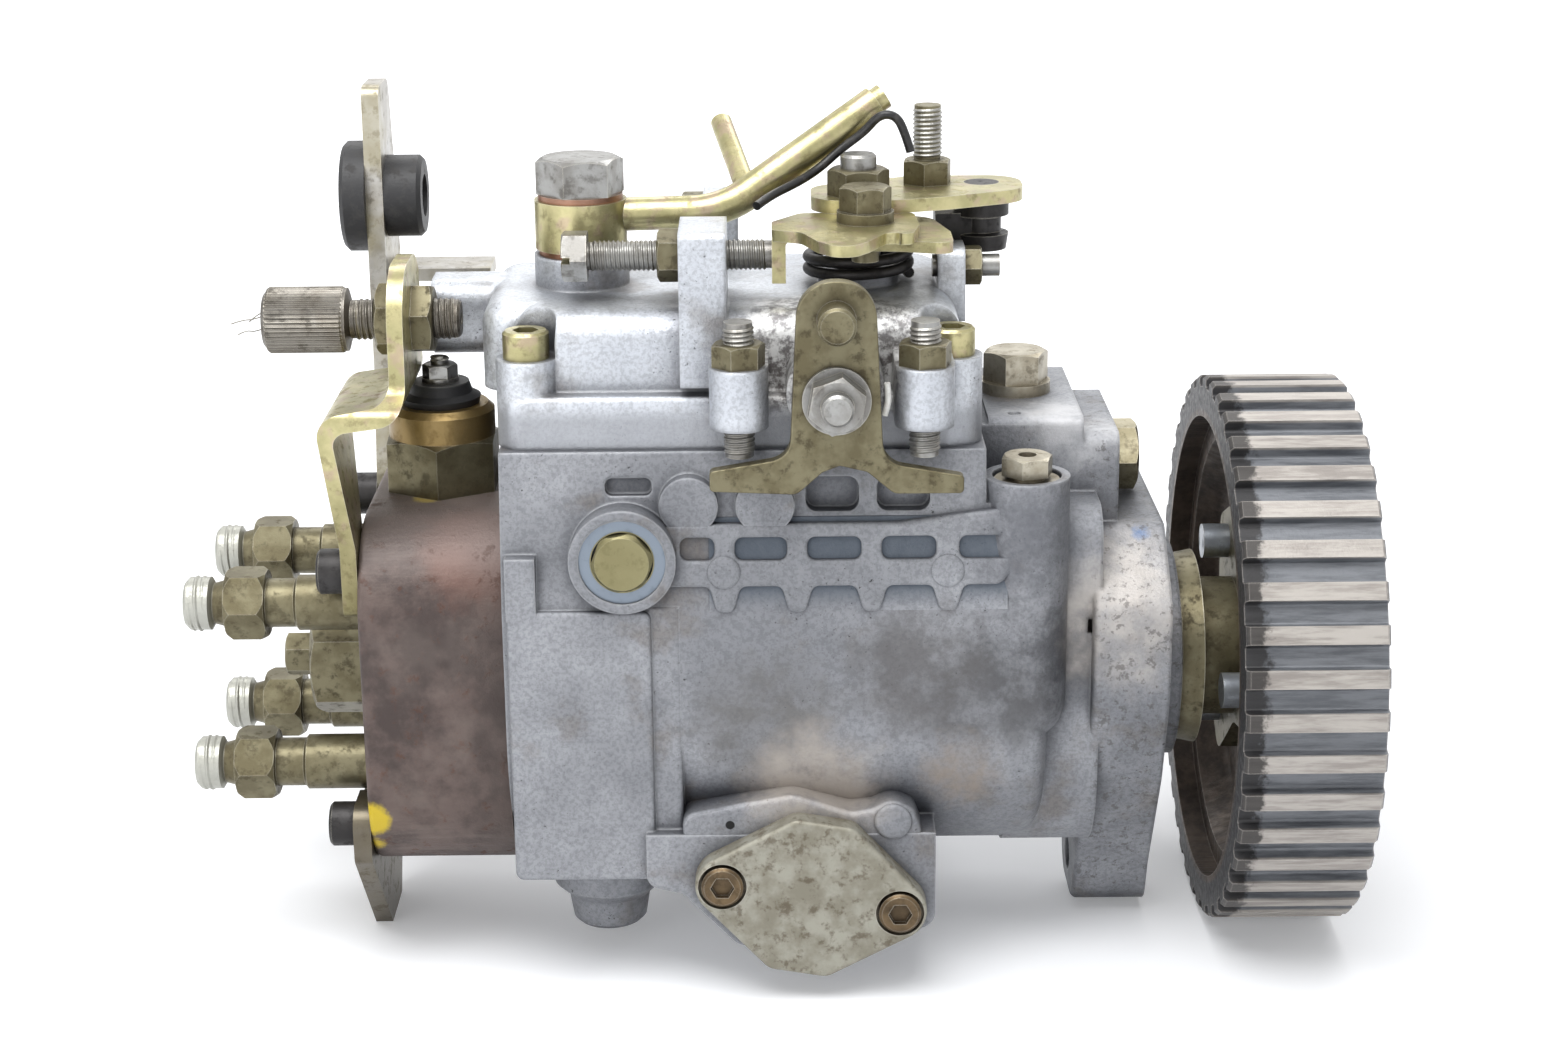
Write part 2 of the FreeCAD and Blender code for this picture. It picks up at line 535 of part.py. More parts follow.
def rib_pockets():
    """Hollows between the stiffening ribs, in rows on both long sides of the casting."""
    pockets = []
    for side, name in ((-1, "near"), (1, "far")):
        for i in range(4 if side < 0 else 5):
            right = -g.rib_first_back - g.rib_pitch * i - g.rib_width
            left = right - (g.rib_pitch - g.rib_width)
            for row, (low, high) in enumerate(((g.rib_row_low, g.rib_row_high),
                                               (g.rib_foot, g.rib_foot_top))):
                corners = [(left, low, 1.6), (left, high, 1.6), (right, high, 1.6), (right, low, 1.6)]
                start = (0, -g.rib_face + g.rib_depth, 0) if side < 0 else (0, g.rib_face + 6, 0)
                depth = g.rib_depth + 6
                pockets.append(pad("rib_pocket_%s_%d_%d" % (name, row, i), corners, depth, "XZ", start))
        for i in range(2):
            left = -g.window_left_back + i * (g.rib_pitch - 0.7)
            corners = [(left, g.window_low, 2.4), (left, g.window_high, 2.4),
                       (left + 11.4, g.window_high, 2.4), (left + 11.4, g.window_low, 2.4)]
            start = (0, -g.rib_face + g.rib_depth + 1, 0) if side < 0 else (0, g.rib_face + 6, 0)
            pockets.append(pad("window_%s_%d" % (name, i), corners, g.rib_depth + 7, "XZ", start))
    slot = [(-g.plug_boss_back - 3.6, 50.2, 1.5), (-g.plug_boss_back - 3.6, 54, 1.5),
            (-g.plug_boss_back + 6.4, 54, 1.5), (-g.plug_boss_back + 6.4, 50.2, 1.5)]
    pockets.append(pad("rib_slot", slot, 10, "XZ", (0, -g.rib_face + g.rib_depth, 0)))
    return pockets


def head_screw_places():
    return [(y * g.head_screw_side, z * g.head_screw_side) for y in (-1, 1) for z in (-1, 1)]


def cover_screw_places():
    return [(-x, y * g.cover_screw_side) for x in (g.cover_screw_left_back, g.cover_screw_right_back)
            for y in (-1, 1)]


def timing_screw_places():
    tilt = math.radians(float(g.timing_cover_tilt))
    return [(x_timing + g.timing_screw_pitch * (s * math.cos(tilt)),
             -g.timing_drop - g.timing_screw_pitch * (s * math.sin(tilt))) for s in (-1, 1)]


def casting_cavities():
    far = g.timing_half + 1
    tools = [
        cylinder("cavity_rear", g.cavity_radius, g.head_back - g.ring_rear_back - 2, (x_head, 0, 0)),
        cylinder("cavity_ring", g.ring_radius + g.ring_gap, g.ring_rear_back + 2 - g.gear_rear_back - 4,
                 (-g.ring_rear_back - 2, 0, 0)),
        cylinder("cavity_gear", g.cavity_radius, g.gear_rear_back + 4 - g.feed_rear_back,
                 (-g.gear_rear_back - 4, 0, 0)),
        cylinder("cavity_feed", g.feed_bore, g.feed_rear_back - g.feed_front_back, (-g.feed_rear_back, 0, 0)),
        cylinder("cavity_bush", g.bush_radius, g.bush_back + 1, (-g.bush_back, 0, 0)),
        cylinder("cavity_seal", g.seal_radius, g.seal_inner + g.spigot_length + 1, (-g.seal_inner, 0, 0)),
        box("cavity_chamber", (-g.chamber_rear_back, -g.chamber_half, g.chamber_floor),
            (-g.chamber_front_back, g.chamber_half, g.rim_height + 1)),
        cylinder("cavity_timing", g.timing_bore, far * 2, (x_timing, -far, -g.timing_drop), "Y"),
        box("cavity_ring_pin", (x_timing - 4.2, pin_side - 5, -g.timing_drop), (x_timing + 4.2, 9.2, -20)),
        cylinder("cavity_governor_shaft", g.governor_shaft_radius, 11,
                 (-g.chamber_front_back - 1, 0, g.governor_height)),
        cylinder("cavity_lever_pivot", g.lever_pivot_radius, g.chamber_half * 2 + 8,
                 (-g.lever_back, -g.chamber_half - 4, g.lever_pivot_height), "Y"),
        cylinder("hole_plug", g.plug_ring_radius, 3, (-g.plug_boss_back, -g.plug_boss_face + 2.2,
                                                      g.plug_boss_height), "-Y"),
        cylinder("hole_valve_seat", g.valve_boss - 1.8, 3, (-g.valve_back, -g.valve_side,
                                                            g.valve_top - 2.2), "Z"),
        cylinder("hole_valve", 4.0, 34, (-g.valve_back, -g.valve_side, g.valve_top - 34), "Z"),
        cylinder("hole_inlet", 6.0, 20, (-g.inlet_back, g.inlet_side, g.top_block_height - 18), "Z"),
        cylinder("hole_front_plug", 4.0, 14,
                 (-g.top_block_front_back - 12, g.front_plug_side, g.front_plug_height)),
        cylinder("drill_mark", 1.5, 2, (-g.top_block_rear_back + 6, -g.top_block_near + 4.5,
                                        g.top_block_height - 0.8), "Z"),
    ]
    tools += [cylinder("hole_head_screw_%d" % i, g.head_screw_radius, 24, (x_head, y, z))
              for i, (y, z) in enumerate(head_screw_places())]
    tools += [cylinder("hole_cover_screw_%d" % i, g.cover_screw_radius, 14, (x, y, g.rim_height - 13), "Z")
              for i, (x, y) in enumerate(cover_screw_places())]
    tools += [cylinder("hole_timing_screw_%d" % i, g.timing_screw_radius, far * 2, (x, -far, z), "Y")
              for i, (x, z) in enumerate(timing_screw_places())]
    for i, (y, z) in enumerate(((g.flange_side_hole, g.flange_side_height), (0, -g.flange_low_hole),
                                (-g.flange_side_hole, g.flange_side_height))):
        tools.append(cylinder("hole_flange_%d" % i, g.flange_hole, g.flange_thick + 2,
                              (-g.flange_thick - 1, y, z)))
    return tools


def make_housing():
    plain = fuse("casting_blank", *make_casting(), *make_side_forms())
    stepped = cut("casting_stepped", plain, *front_steps())
    blank = cut("casting_ribbed", fuse("casting_with_boss", stepped, *valve_column()), *rib_pockets())
    return cut("pump_housing", blank, *casting_cavities())


# Governor cover

def make_cover():
    left, right, low = -g.cover_left_back, -g.cover_right_back, g.rim_height
    base_height = g.cover_ledge - low
    half, inset = g.cover_half, g.cover_inset
    base = pad("cover_base", [
        (left, -half, 5), (right, -half, 6), (right, half, 6), (left, half, 5),
    ], base_height, "XY", (0, 0, low))
    soften(base, 1.2, far_end(base_height))
    upper_height = g.cover_top - low
    upper = pad("cover_upper", [
        (left + 2, -half + inset, 8), (right - 2, -half + inset, 10),
        (right - 2, half - inset, 10), (left + 2, half - inset, 8),
    ], upper_height, "XY", (0, 0, low))
    soften(upper, g.cover_top_round, far_end(upper_height))
    bulge_height = g.cover_top - g.cover_ledge + 2
    bulge = pad("cover_bulge", [
        (left - 5, -g.cover_bulge_half, 7), (left + 9, -g.cover_bulge_half), (left + 9, g.cover_bulge_half),
        (left - 5, g.cover_bulge_half, 7),
    ], bulge_height, "XY", (0, 0, g.cover_ledge - 2))
    soften(bulge, 5, lambda e: far_end(bulge_height)(e) and e.BoundBox.XMax < float(left) + 8.9)
    pillars = [cylinder("cover_pillar_%d" % i, 6.6, g.cover_screw_seat - low, (x, y, low), "Z")
               for i, (x, y) in enumerate(cover_screw_places())]
    recesses = [cylinder("cover_recess_%d" % i, 6.6, 20, (x, y, g.cover_screw_seat), "Z")
                for i, (x, y) in enumerate(cover_screw_places())]
    ear_outline = [(-half, g.cover_ledge + 2), (-half, g.ear_top, 1.5),
                   (-half + g.ear_depth, g.ear_top, 8), (-half + g.ear_depth + 4, g.cover_top - 4),
                   (-half + g.ear_depth + 4, g.cover_ledge + 2)]
    ear = pad("cover_ear_near", ear_outline, g.ear_left_back - g.ear_right_back, "YZ",
              (-g.ear_left_back, 0, 0))
    far_outline = [(24, g.cover_top - 6), (22, g.ear_top - 3, 4), (half - 3, g.ear_top - 3, 4),
                   (half - 1, g.cover_ledge + 4)]
    far_ear = pad("cover_ear_far", far_outline, 8, "YZ", (-g.ear_left_back + 4, 0, 0))
    idle_outline = [(-9, g.cover_top - 8), (-7, g.cover_top + 8, 3), (5, g.cover_top + 8, 3),
                    (6, g.cover_top - 8)]
    idle_ear = pad("cover_ear_idle", idle_outline, 6, "YZ", (-g.idle_ear_back - 3, 0, 0))
    throttle_boss = cylinder("cover_throttle_boss", g.throttle_boss, 8,
                             (-g.throttle_back, -g.throttle_side, g.cover_top - 5), "Z")
    banjo_boss = cylinder("cover_banjo_boss", g.banjo_ring + 0.3,
                          g.banjo_low - g.washer_thick - g.cover_top + 10,
                          (-g.banjo_back, -g.banjo_side, g.cover_top - 10), "Z")
    stop_boss = cylinder("cover_stop_boss", g.stop_boss_radius, g.stop_boss_face - 28,
                         (-g.stop_pivot_back, -28, g.stop_pivot_height), "-Y")
    socket_length = g.rear_socket_end_back - g.cover_left_back + 6
    radius = g.rear_socket_radius
    socket = pad("cover_rear_socket", [
        (g.rear_socket_side - radius, g.rear_socket_height - radius, 6),
        (g.rear_socket_side + radius, g.rear_socket_height - radius, 6),
        (g.rear_socket_side + radius, g.rear_socket_height + radius, 5),
        (g.rear_socket_side - radius, g.rear_socket_height + radius, 5),
    ], socket_length, "YZ", (-g.rear_socket_end_back, 0, 0))
    adjuster_bosses = []
    for i, back in enumerate((g.adjuster_left_back, g.adjuster_right_back)):
        adjuster_bosses.append(cylinder("cover_adjuster_boss_%d" % i, g.adjuster_boss,
                                        g.adjuster_high - g.adjuster_low,
                                        (-back, -g.adjuster_side, g.adjuster_low), "Z"))
        adjuster_bosses.append(box("cover_adjuster_web_%d" % i,
                                   (-back - g.adjuster_boss, -g.adjuster_side, g.adjuster_low),
                                   (-back + g.adjuster_boss, -30, g.adjuster_high)))
    body = fuse("cover_outer", base, upper, bulge, *pillars)
    shell = fuse("cover_shell", body, ear, far_ear, idle_ear, throttle_boss, banjo_boss, stop_boss, socket,
                 *adjuster_bosses)
    hollow_height = g.cover_top - g.cover_wall - low
    hollow = pad("cover_hollow", [
        (-g.chamber_rear_back, -half + inset + g.cover_wall, 6),
        (-g.chamber_front_back - 3, -half + inset + g.cover_wall, 6),
        (-g.chamber_front_back - 3, half - inset - g.cover_wall, 6),
        (-g.chamber_rear_back, half - inset - g.cover_wall, 6),
    ], hollow_height, "XY", (0, 0, low))
    soften(hollow, 3, far_end(hollow_height))
    holes = [
        cylinder("cover_throttle_bore", g.throttle_shaft_radius + g.shaft_gap, 30,
                 (-g.throttle_back, -g.throttle_side, g.cover_top - 15), "Z"),
        cylinder("cover_stop_bore", g.stop_shaft_radius + g.shaft_gap, 30,
                 (-g.stop_pivot_back, -25, g.stop_pivot_height), "-Y"),
        cylinder("cover_banjo_bore", 5.0, 40, (-g.banjo_back, -g.banjo_side, g.cover_top - 15), "Z"),
        cylinder("cover_socket_bore", g.screw_radius, 40,
                 (-g.rear_socket_end_back - 1, g.rear_socket_side, g.rear_socket_height)),
        cylinder("cover_speed_bore", g.screw_radius, 12,
                 (-g.ear_left_back - 1, -g.speed_screw_side, g.speed_screw_height)),
        cylinder("cover_far_bore", g.screw_radius, 12, (-g.ear_left_back + 3, 30, g.ear_top - 9)),
        cylinder("cover_idle_bore", 2.5, 20, (-g.idle_ear_back - 7, -1, g.cover_top + 3)),
    ]
    for i, (x, y) in enumerate(cover_screw_places()):
        holes.append(cylinder("cover_screw_bore_%d" % i, g.cover_screw_radius, 40, (x, y, low - 1), "Z"))
    for i, back in enumerate((g.adjuster_left_back, g.adjuster_right_back)):
        holes.append(cylinder("cover_adjuster_bore_%d" % i, g.screw_radius, 20,
                              (-back, -g.adjuster_side, g.adjuster_low - 2), "Z"))
    return cut("governor_cover", shell, hollow, *recesses, *holes)


# Distributor head with its fittings

def make_head():
    half, corner = g.head_half, g.head_round
    block = pad("head_block", [
        (-half, -half, corner), (half, -half, corner), (half, half, corner), (-half, half, corner),
    ], g.head_thick, "YZ", (x_head_rear, 0, 0))
    soften(block, 1.2, lambda e: e.BoundBox.ZMax < 0.01)
    spigot = cylinder("head_spigot_disc", g.cavity_radius - 0.05, g.head_spigot, (x_head, 0, 0))
    tools = [
        cylinder("head_barrel_bore", g.barrel_radius, g.head_thick + 20, (x_head_rear - 1, 0, 0)),
        cylinder("head_stop_bore", 4.0, g.solenoid_base - 12, (-g.solenoid_back, 0, 12), "Z"),
        cylinder("head_solenoid_seat", 9.0, 8, (-g.solenoid_back, 0, g.solenoid_base - 7), "Z"),
    ]
    tools += [cylinder("head_screw_bore_%d" % i, g.head_screw_radius, g.head_thick + 2,
                       (x_head_rear - 1, y, z))
              for i, (y, z) in enumerate(head_screw_places())]
    tools += [cylinder("head_valve_bore_%d" % i, 5.0, 21, (x_head_rear - 1, y, z))
              for i, (y, z) in enumerate(holder_places())]
    bored = cut("head_bored", fuse("head_blank", block, spigot), *tools)
    return fuse("distributor_head", bored, *guide_pins())


def guide_pins():
    """Pins pressed into the head that hold the plunger springs straight."""
    return [cylinder("guide_pin_%d" % i, g.guide_pin_radius, 36, (x_head - 1, s * g.plunger_spring_side, 0))
            for i, s in enumerate((-1, 1))]


def holder_places():
    return [(y * g.holder_side, z * g.holder_side) for y in (-1, 1) for z in (-1, 1)]


def make_holder(name, y, z):
    """A delivery valve holder: threaded tip, neck, hexagon, two shoulders and its screwed end."""
    tip, hexa = g.holder_tip_back, g.holder_hex_back
    seat = -x_head_rear
    body = turned(name + "_turned", [
        (seat - 9, 2.6), (seat - 9, 5.0), (seat, 5.0), (seat, g.holder_base), (hexa - 16, g.holder_base),
        (hexa - 15.4, 5.5), (hexa - 9, 5.5), (hexa, 5.4), (hexa + 3, 4.6), (tip - 6.3, g.holder_thread - 1.2),
        (tip - 5.6, g.holder_thread), (tip - 1, g.holder_thread), (tip, g.holder_thread - 1),
        (tip, 2.8), (tip - 4, 1.2), (seat + 6, 1.2), (seat + 6, 2.6),
    ], (0, y, z), "-X")
    collar = common(name + "_hexagon", hexagon(name + "_flats", g.holder_hex_flats, 9, (-hexa, y, z), "X",
                                               30),
                    turned(name + "_chamfer", [
                        (hexa - 9, 0), (hexa - 9, 7.4), (hexa - 7.6, 8.4), (hexa - 1.4, 8.4), (hexa, 7.4),
                        (hexa, 0),
                    ], (0, y, z), "-X"))
    bored = cut(name + "_collar", collar, cylinder(name + "_collar_bore", 3.0, 20, (-hexa - 2, y, z)))
    return fuse(name, body, bored)


def make_head_fittings():
    holders = [make_holder("holder_%d" % i, y, z) for i, (y, z) in enumerate(holder_places())]
    group("delivery_valve_holders", holders)
    valves = [turned("valve_%d" % i, [
        (-x_head_rear - 19, 0), (-x_head_rear - 19, 4.9), (-x_head_rear - 12, 4.9),
        (-x_head_rear - 11.4, 2.4), (-x_head_rear - 8, 2.2), (-x_head_rear - 8, 0),
    ], (0, y, z), "-X") for i, (y, z) in enumerate(holder_places())]
    group("delivery_valves", valves)
    length = g.head_screw_length
    screws = []
    for i, (y, z) in enumerate(head_screw_places()):
        near_top = float(y) < 0 < float(z)
        seat = x_head_rear - (g.strip_thick if near_top else g.bracket_thick)
        screws.append(cap_screw("head_screw_%d" % i, 5.0, 6.0, g.head_screw_radius, length + 4, (seat, y, z),
                                "-X", 5.0))
    group("head_screws", screws)
    barrel = turned("distributor_barrel", [
        (g.barrel_nose_back, g.plunger_radius + 0.02), (g.barrel_nose_back, g.barrel_radius - 1),
        (g.barrel_nose_back + 1, g.barrel_radius), (-x_head_rear, g.barrel_radius),
        (-x_head_rear, g.plunger_radius + 0.02),
    ], axis="-X")
    barrel.Label = "distributor_barrel"
    plug_length = g.plug_end_back + x_head_rear
    plug = hex_head("plug_hexagon", g.plug_flats, plug_length - 3, (x_head_rear - 3, 0, 0), "-X")
    collar = cylinder("plug_collar", g.plug_flats / 2 + 1.2, 3, (x_head_rear, 0, 0), "-X")
    plug_body = cut("plug_body", fuse("plug_blank", plug, collar),
                    cylinder("plug_bleed_bore", 2.5, 12, (-g.plug_end_back - 1, 0, 0)))
    bleed_head = hex_head("bleed_head", 9.0, g.bleed_end_back - g.plug_end_back, (-g.plug_end_back, 0, 0),
                          "-X")
    bleed = fuse("bleed_screw", bleed_head, cylinder("bleed_shank", 2.5, 9, (-g.plug_end_back, 0, 0)))
    group("centre_plug", [plug_body, bleed])


def make_solenoid():
    """Fuel shut-off solenoid on top of the head, its armature free to rise inside."""
    x, base, flats = -g.solenoid_back, g.solenoid_base, g.solenoid_flats
    nose = cylinder("solenoid_nose", 9.0, 7, (x, 0, base - 7), "Z")
    flats_block = hex_head("solenoid_flats_block", flats, 12.5, (x, 0, base), "Z", 30)
    band = turned("solenoid_band", [
        (12, 0), (12, flats * 0.5), (18, flats * 0.5), (19.4, flats * 0.44), (19.4, 0),
    ], (x, 0, base), "Z")
    cut("stop_solenoid_case", fuse("solenoid_blank", nose, flats_block, band),
        cylinder("solenoid_core_bore", 4.0, 13, (x, 0, base - 8), "Z"))
    insulator = turned("solenoid_insulator", [
        (19.4, 2.0), (19.4, 8.6), (21, 9.0), (22, 7.2), (24.4, 6.4), (24.4, 2.0),
    ], (x, 0, base), "Z")
    terminal_nut = hex_head("terminal_nut", 7.0, 3, (x, 0, base + 25.4), "Z")
    terminal = turned("terminal_stud", [
        (19.4, 0), (19.4, 2.0), (24.4, 2.0), (24.4, 4.2), (25.4, 4.2), (25.4, 2.0), (29.5, 2.0), (29.5, 0),
    ], (x, 0, base), "Z")
    group("solenoid_terminal", [insulator, fuse("terminal_metal", terminal_nut, terminal)])
    turned("solenoid_armature", [
        (12.4, 0), (14.4, 2.0), (16, 3.6), (40, 3.6), (42.3, 3.0), (42.3, 0),
    ], (x, 0, 0), "Z")


# Brackets at the head

def make_support_bracket():
    outline = [
        (-38, -24, 5), (-38, -36, 3), (-12, -62.9), (5, -62.9), (14, -42, 6), (40, -40, 10), (50, 0, 30),
        (60, 62, 10), (58, 90, 10), (51, 127, 5), (33, 127, 3), (31.5, 60, 10), (26.6, 36, 4),
        (26.6, -26.6, 5), (-22, -26.6, 4), (-24, -24, 3),
    ]
    holes = [(y, z, g.head_screw_radius + g.thread_gap) for y, z in head_screw_places()
             if not (float(y) < 0 < float(z))]
    holes.append((g.grommet_far, g.grommet_height, 8.0))
    plate = pad("support_plate", outline, g.bracket_thick, "YZ", (x_bracket, 0, 0), 0, holes)
    tab = pad("support_tab", [
        (x_bracket + 1, 80.5), (x_bracket + 1, 83.5, 2), (-g.cover_left_back - 8.4, 83.5),
        (-g.cover_left_back - 8.4, 80.5),
    ], 14, "XZ", (0, 50, 0))
    fuse("support_bracket", plate, tab)
    turned("support_grommet", [
        (-6, 5.0), (-6, 12.0), (-5, 13.0), (0, 13.0), (0, 8.0), (g.bracket_thick, 8.0),
        (g.bracket_thick, 9.6),
        (g.bracket_thick + 7.7, 9.6), (g.bracket_thick + 8.7, 8.6), (g.bracket_thick + 8.7, 5.0),
    ], (x_bracket, g.grommet_far, g.grommet_height), "X")


def make_cable_bracket():
    """Bent strip that carries the control cable adjuster above the head."""
    thick = g.strip_thick
    face = x_head_rear - thick
    side = [
        (face, 21), (face, 37, 8), (face - 4.1, 66.4, 5), (-169, 68.6, 4), (-169, 97), (-165.5, 97),
        (-165.5, 65, 6), (x_head_rear - 4, 62.9, 3), (x_head_rear, 37, 8), (x_head_rear, 21),
    ]
    strip = pad("cable_strip", side, 40, "XZ", (0, 2, 0))
    front = pad("cable_front", [
        (-37, 21, 3), (-37.5, 67, 3), (-30, 71, 4), (-29, 96, 12.5), (4, 96, 12.5), (4, 66, 4), (-9, 62, 6),
        (-25.8, 36, 6), (-25.8, 21, 3),
    ], 40, "YZ", (-200, 0, 0))
    blank = common("cable_blank", strip, front)
    cut("cable_bracket", blank,
        cylinder("cable_screw_hole", g.head_screw_radius + g.thread_gap, 30,
                 (-200, -g.head_screw_side, g.head_screw_side)),
        cylinder("cable_adjuster_hole", g.cable_thread + g.thread_gap, 30,
                 (-185, -g.adjuster_near, g.adjuster_height)))
    at = (0, -g.adjuster_near, g.adjuster_height)
    turned("cable_adjuster", [
        (155, 1.4), (155, g.cable_thread - 0.6), (155.6, g.cable_thread), (179.2, g.cable_thread),
        (180, g.knurl_radius), (197.4, g.knurl_radius), (198.4, g.knurl_radius - 1.2), (198.4, 1.4),
    ], at, "-X")
    near, height = -g.adjuster_near, g.adjuster_height
    bore = g.cable_thread + g.thread_gap
    group("cable_adjuster_nuts", [
        nut("cable_nut_outer", 14.0, 4.6, bore, (-169, near, height), "-X"),
        nut("cable_nut_inner", 14.0, 4.6, bore, (-165.5, near, height), "X", 14),
    ])


# Fittings on the cover

def make_overflow():
    """Overflow banjo with its pipe bent up over the cover and a short branch on the far side."""
    x, y = -g.banjo_back, -g.banjo_side
    low, high, ring = g.banjo_low, g.banjo_high, g.banjo_ring
    rings = cut("banjo_bored", cylinder("banjo_ring_blank", ring, high - low, (x, y, low), "Z"),
                cylinder("banjo_ring_bore", 5.4, high - low, (x, y, low), "Z"))
    middle = (low + high) / 2 + 1.7
    route = [Vector(float(x + ring - 1), float(y), float(middle)), Vector(-97, float(y), float(middle) + 0.5),
             Vector(-63, float(y) + 10, 126.2)]
    pipe = doc.addObject("Part::Feature", "pipe_sweep")
    pipe.Shape = bent_rod(route, float(g.pipe_radius), 22)
    branch = doc.addObject("Part::Feature", "pipe_branch")
    branch.Shape = Part.makeCylinder(2.4, 27, Vector(-91.5, float(y) + 1, 107.8), Vector(-0.22, 0.86, 0.44))
    tip = doc.addObject("Part::Feature", "pipe_tip")
    along = (route[2] - route[1]).normalize()
    tip.Shape = Part.makeCylinder(float(g.pipe_radius) - 0.8, 2.4, route[2], along)
    fuse("overflow_pipe", rings, pipe, branch, tip)
    copper = [
        cut("banjo_washer_%d" % i, cylinder("banjo_washer_blank_%d" % i, 9.4, g.washer_thick, (x, y, z), "Z"),
            cylinder("banjo_washer_bore_%d" % i, 5.4, g.washer_thick, (x, y, z), "Z"))
        for i, z in enumerate((low - g.washer_thick, high))
    ]
    seat = high + g.washer_thick
    head = hex_head("banjo_head_flats", g.banjo_flats, g.banjo_head, (x, y, seat), "Z", 12)
    shank = cylinder("banjo_shank", 5.0, 28, (x, y, seat - 28), "Z")
    bolt = fuse("banjo_bolt", head, shank)
    group("overflow_bolt", [bolt] + copper)


def bent_rod(points, radius, bend):
    """A round rod along straight runs joined by tangent arcs."""
    edges, start = [], points[0]
    for here, after in zip(points[1:-1], points[2:]):
        back, ahead = (start - here).normalize(), (after - here).normalize()
        half = back.getAngle(ahead) / 2
        reach = bend / math.tan(half)
        first, last = here + back * reach, here + ahead * reach
        middle = here + (back + ahead).normalize() * (bend / math.sin(half) - bend)
        edges.append(Part.LineSegment(start, first).toShape())
        edges.append(Part.Arc(first, middle, last).toShape())
        start = last
    edges.append(Part.LineSegment(start, points[-1]).toShape())
    path = Part.Wire(edges)
    circle = Part.Wire(Part.Circle(points[0], points[1] - points[0], radius).toShape())
    return path.makePipeShell([circle], True, False)


def make_cover_fittings():
    places = cover_screw_places()
    group("cover_screws", [
        cap_screw("cover_screw_%d" % i, g.cover_screw_head, g.cap_head_height, g.cover_screw_radius,
                  g.cap_screw_length, (x, y, g.cover_screw_seat), "Z", 5.0)
                           for i, (x, y) in enumerate(places)])
    y, z = -g.speed_screw_side, g.speed_screw_height
    length = g.speed_screw_head_back - g.speed_screw_tip_back
    slot = box("speed_slot", (-g.speed_screw_head_back - 1, y - 6, z - 0.7),
               (-g.speed_screw_head_back + 2, y + 6, z + 0.7))
    head = hex_head("speed_head", g.nut_flats, 5.5, (-g.speed_screw_head_back + 5.5, y, z), "-X", 30)
    rod = cylinder("speed_rod", g.screw_radius, length, (-g.speed_screw_head_back, y, z))
    speed_screw = cut("speed_screw", fuse("speed_blank", head, rod), slot)
    speed_nut = nut("speed_nut", g.nut_flats, g.nut_height, g.screw_radius + g.thread_gap,
                    (-g.ear_left_back, y, z), "-X", 8)
    far_z = g.ear_top - 9
    far_rod = cylinder("far_rod", g.screw_radius, 24, (-g.ear_left_back - 14, 30, far_z))
    far_nut = nut("far_nut", g.nut_flats, g.nut_height, g.screw_radius + g.thread_gap,
                  (-g.ear_left_back + 4, 30, far_z), "-X", 30)
    idle_rod = cylinder("idle_rod", 2.5, 15, (-g.idle_ear_back - 4, -1, g.cover_top + 3))
    idle_nut = nut("idle_nut", 8.0, 4, 2.5 + g.thread_gap, (-g.idle_ear_back + 3, -1, g.cover_top + 3), "X",
                   30)
    load_y, load_z = g.rear_socket_side, g.rear_socket_height
    load_rod = cylinder("load_rod", g.screw_radius, 30, (-g.rear_socket_end_back - 9, load_y, load_z))
    load_nut = nut("load_nut", g.nut_flats, 4, g.screw_radius + g.thread_gap,
                   (-g.rear_socket_end_back, load_y, load_z), "-X", 30)
    screws, nuts = [speed_screw, far_rod, idle_rod, load_rod], [speed_nut, far_nut, idle_nut, load_nut]
    for i, back in enumerate((g.adjuster_left_back, g.adjuster_right_back)):
        at = (-back, -g.adjuster_side, g.adjuster_screw_low)
        screws.append(cylinder("stop_adjuster_%d" % i, g.screw_radius,
                               g.adjuster_screw_top - g.adjuster_screw_low, at, "Z"))
        nuts.append(nut("stop_adjuster_nut_%d" % i, g.nut_flats, g.nut_height, g.screw_radius + g.thread_gap,
                        (-back, -g.adjuster_side, g.adjuster_high), "Z", 15))
    group("adjusting_screws", screws)
    group("adjusting_nuts", nuts)


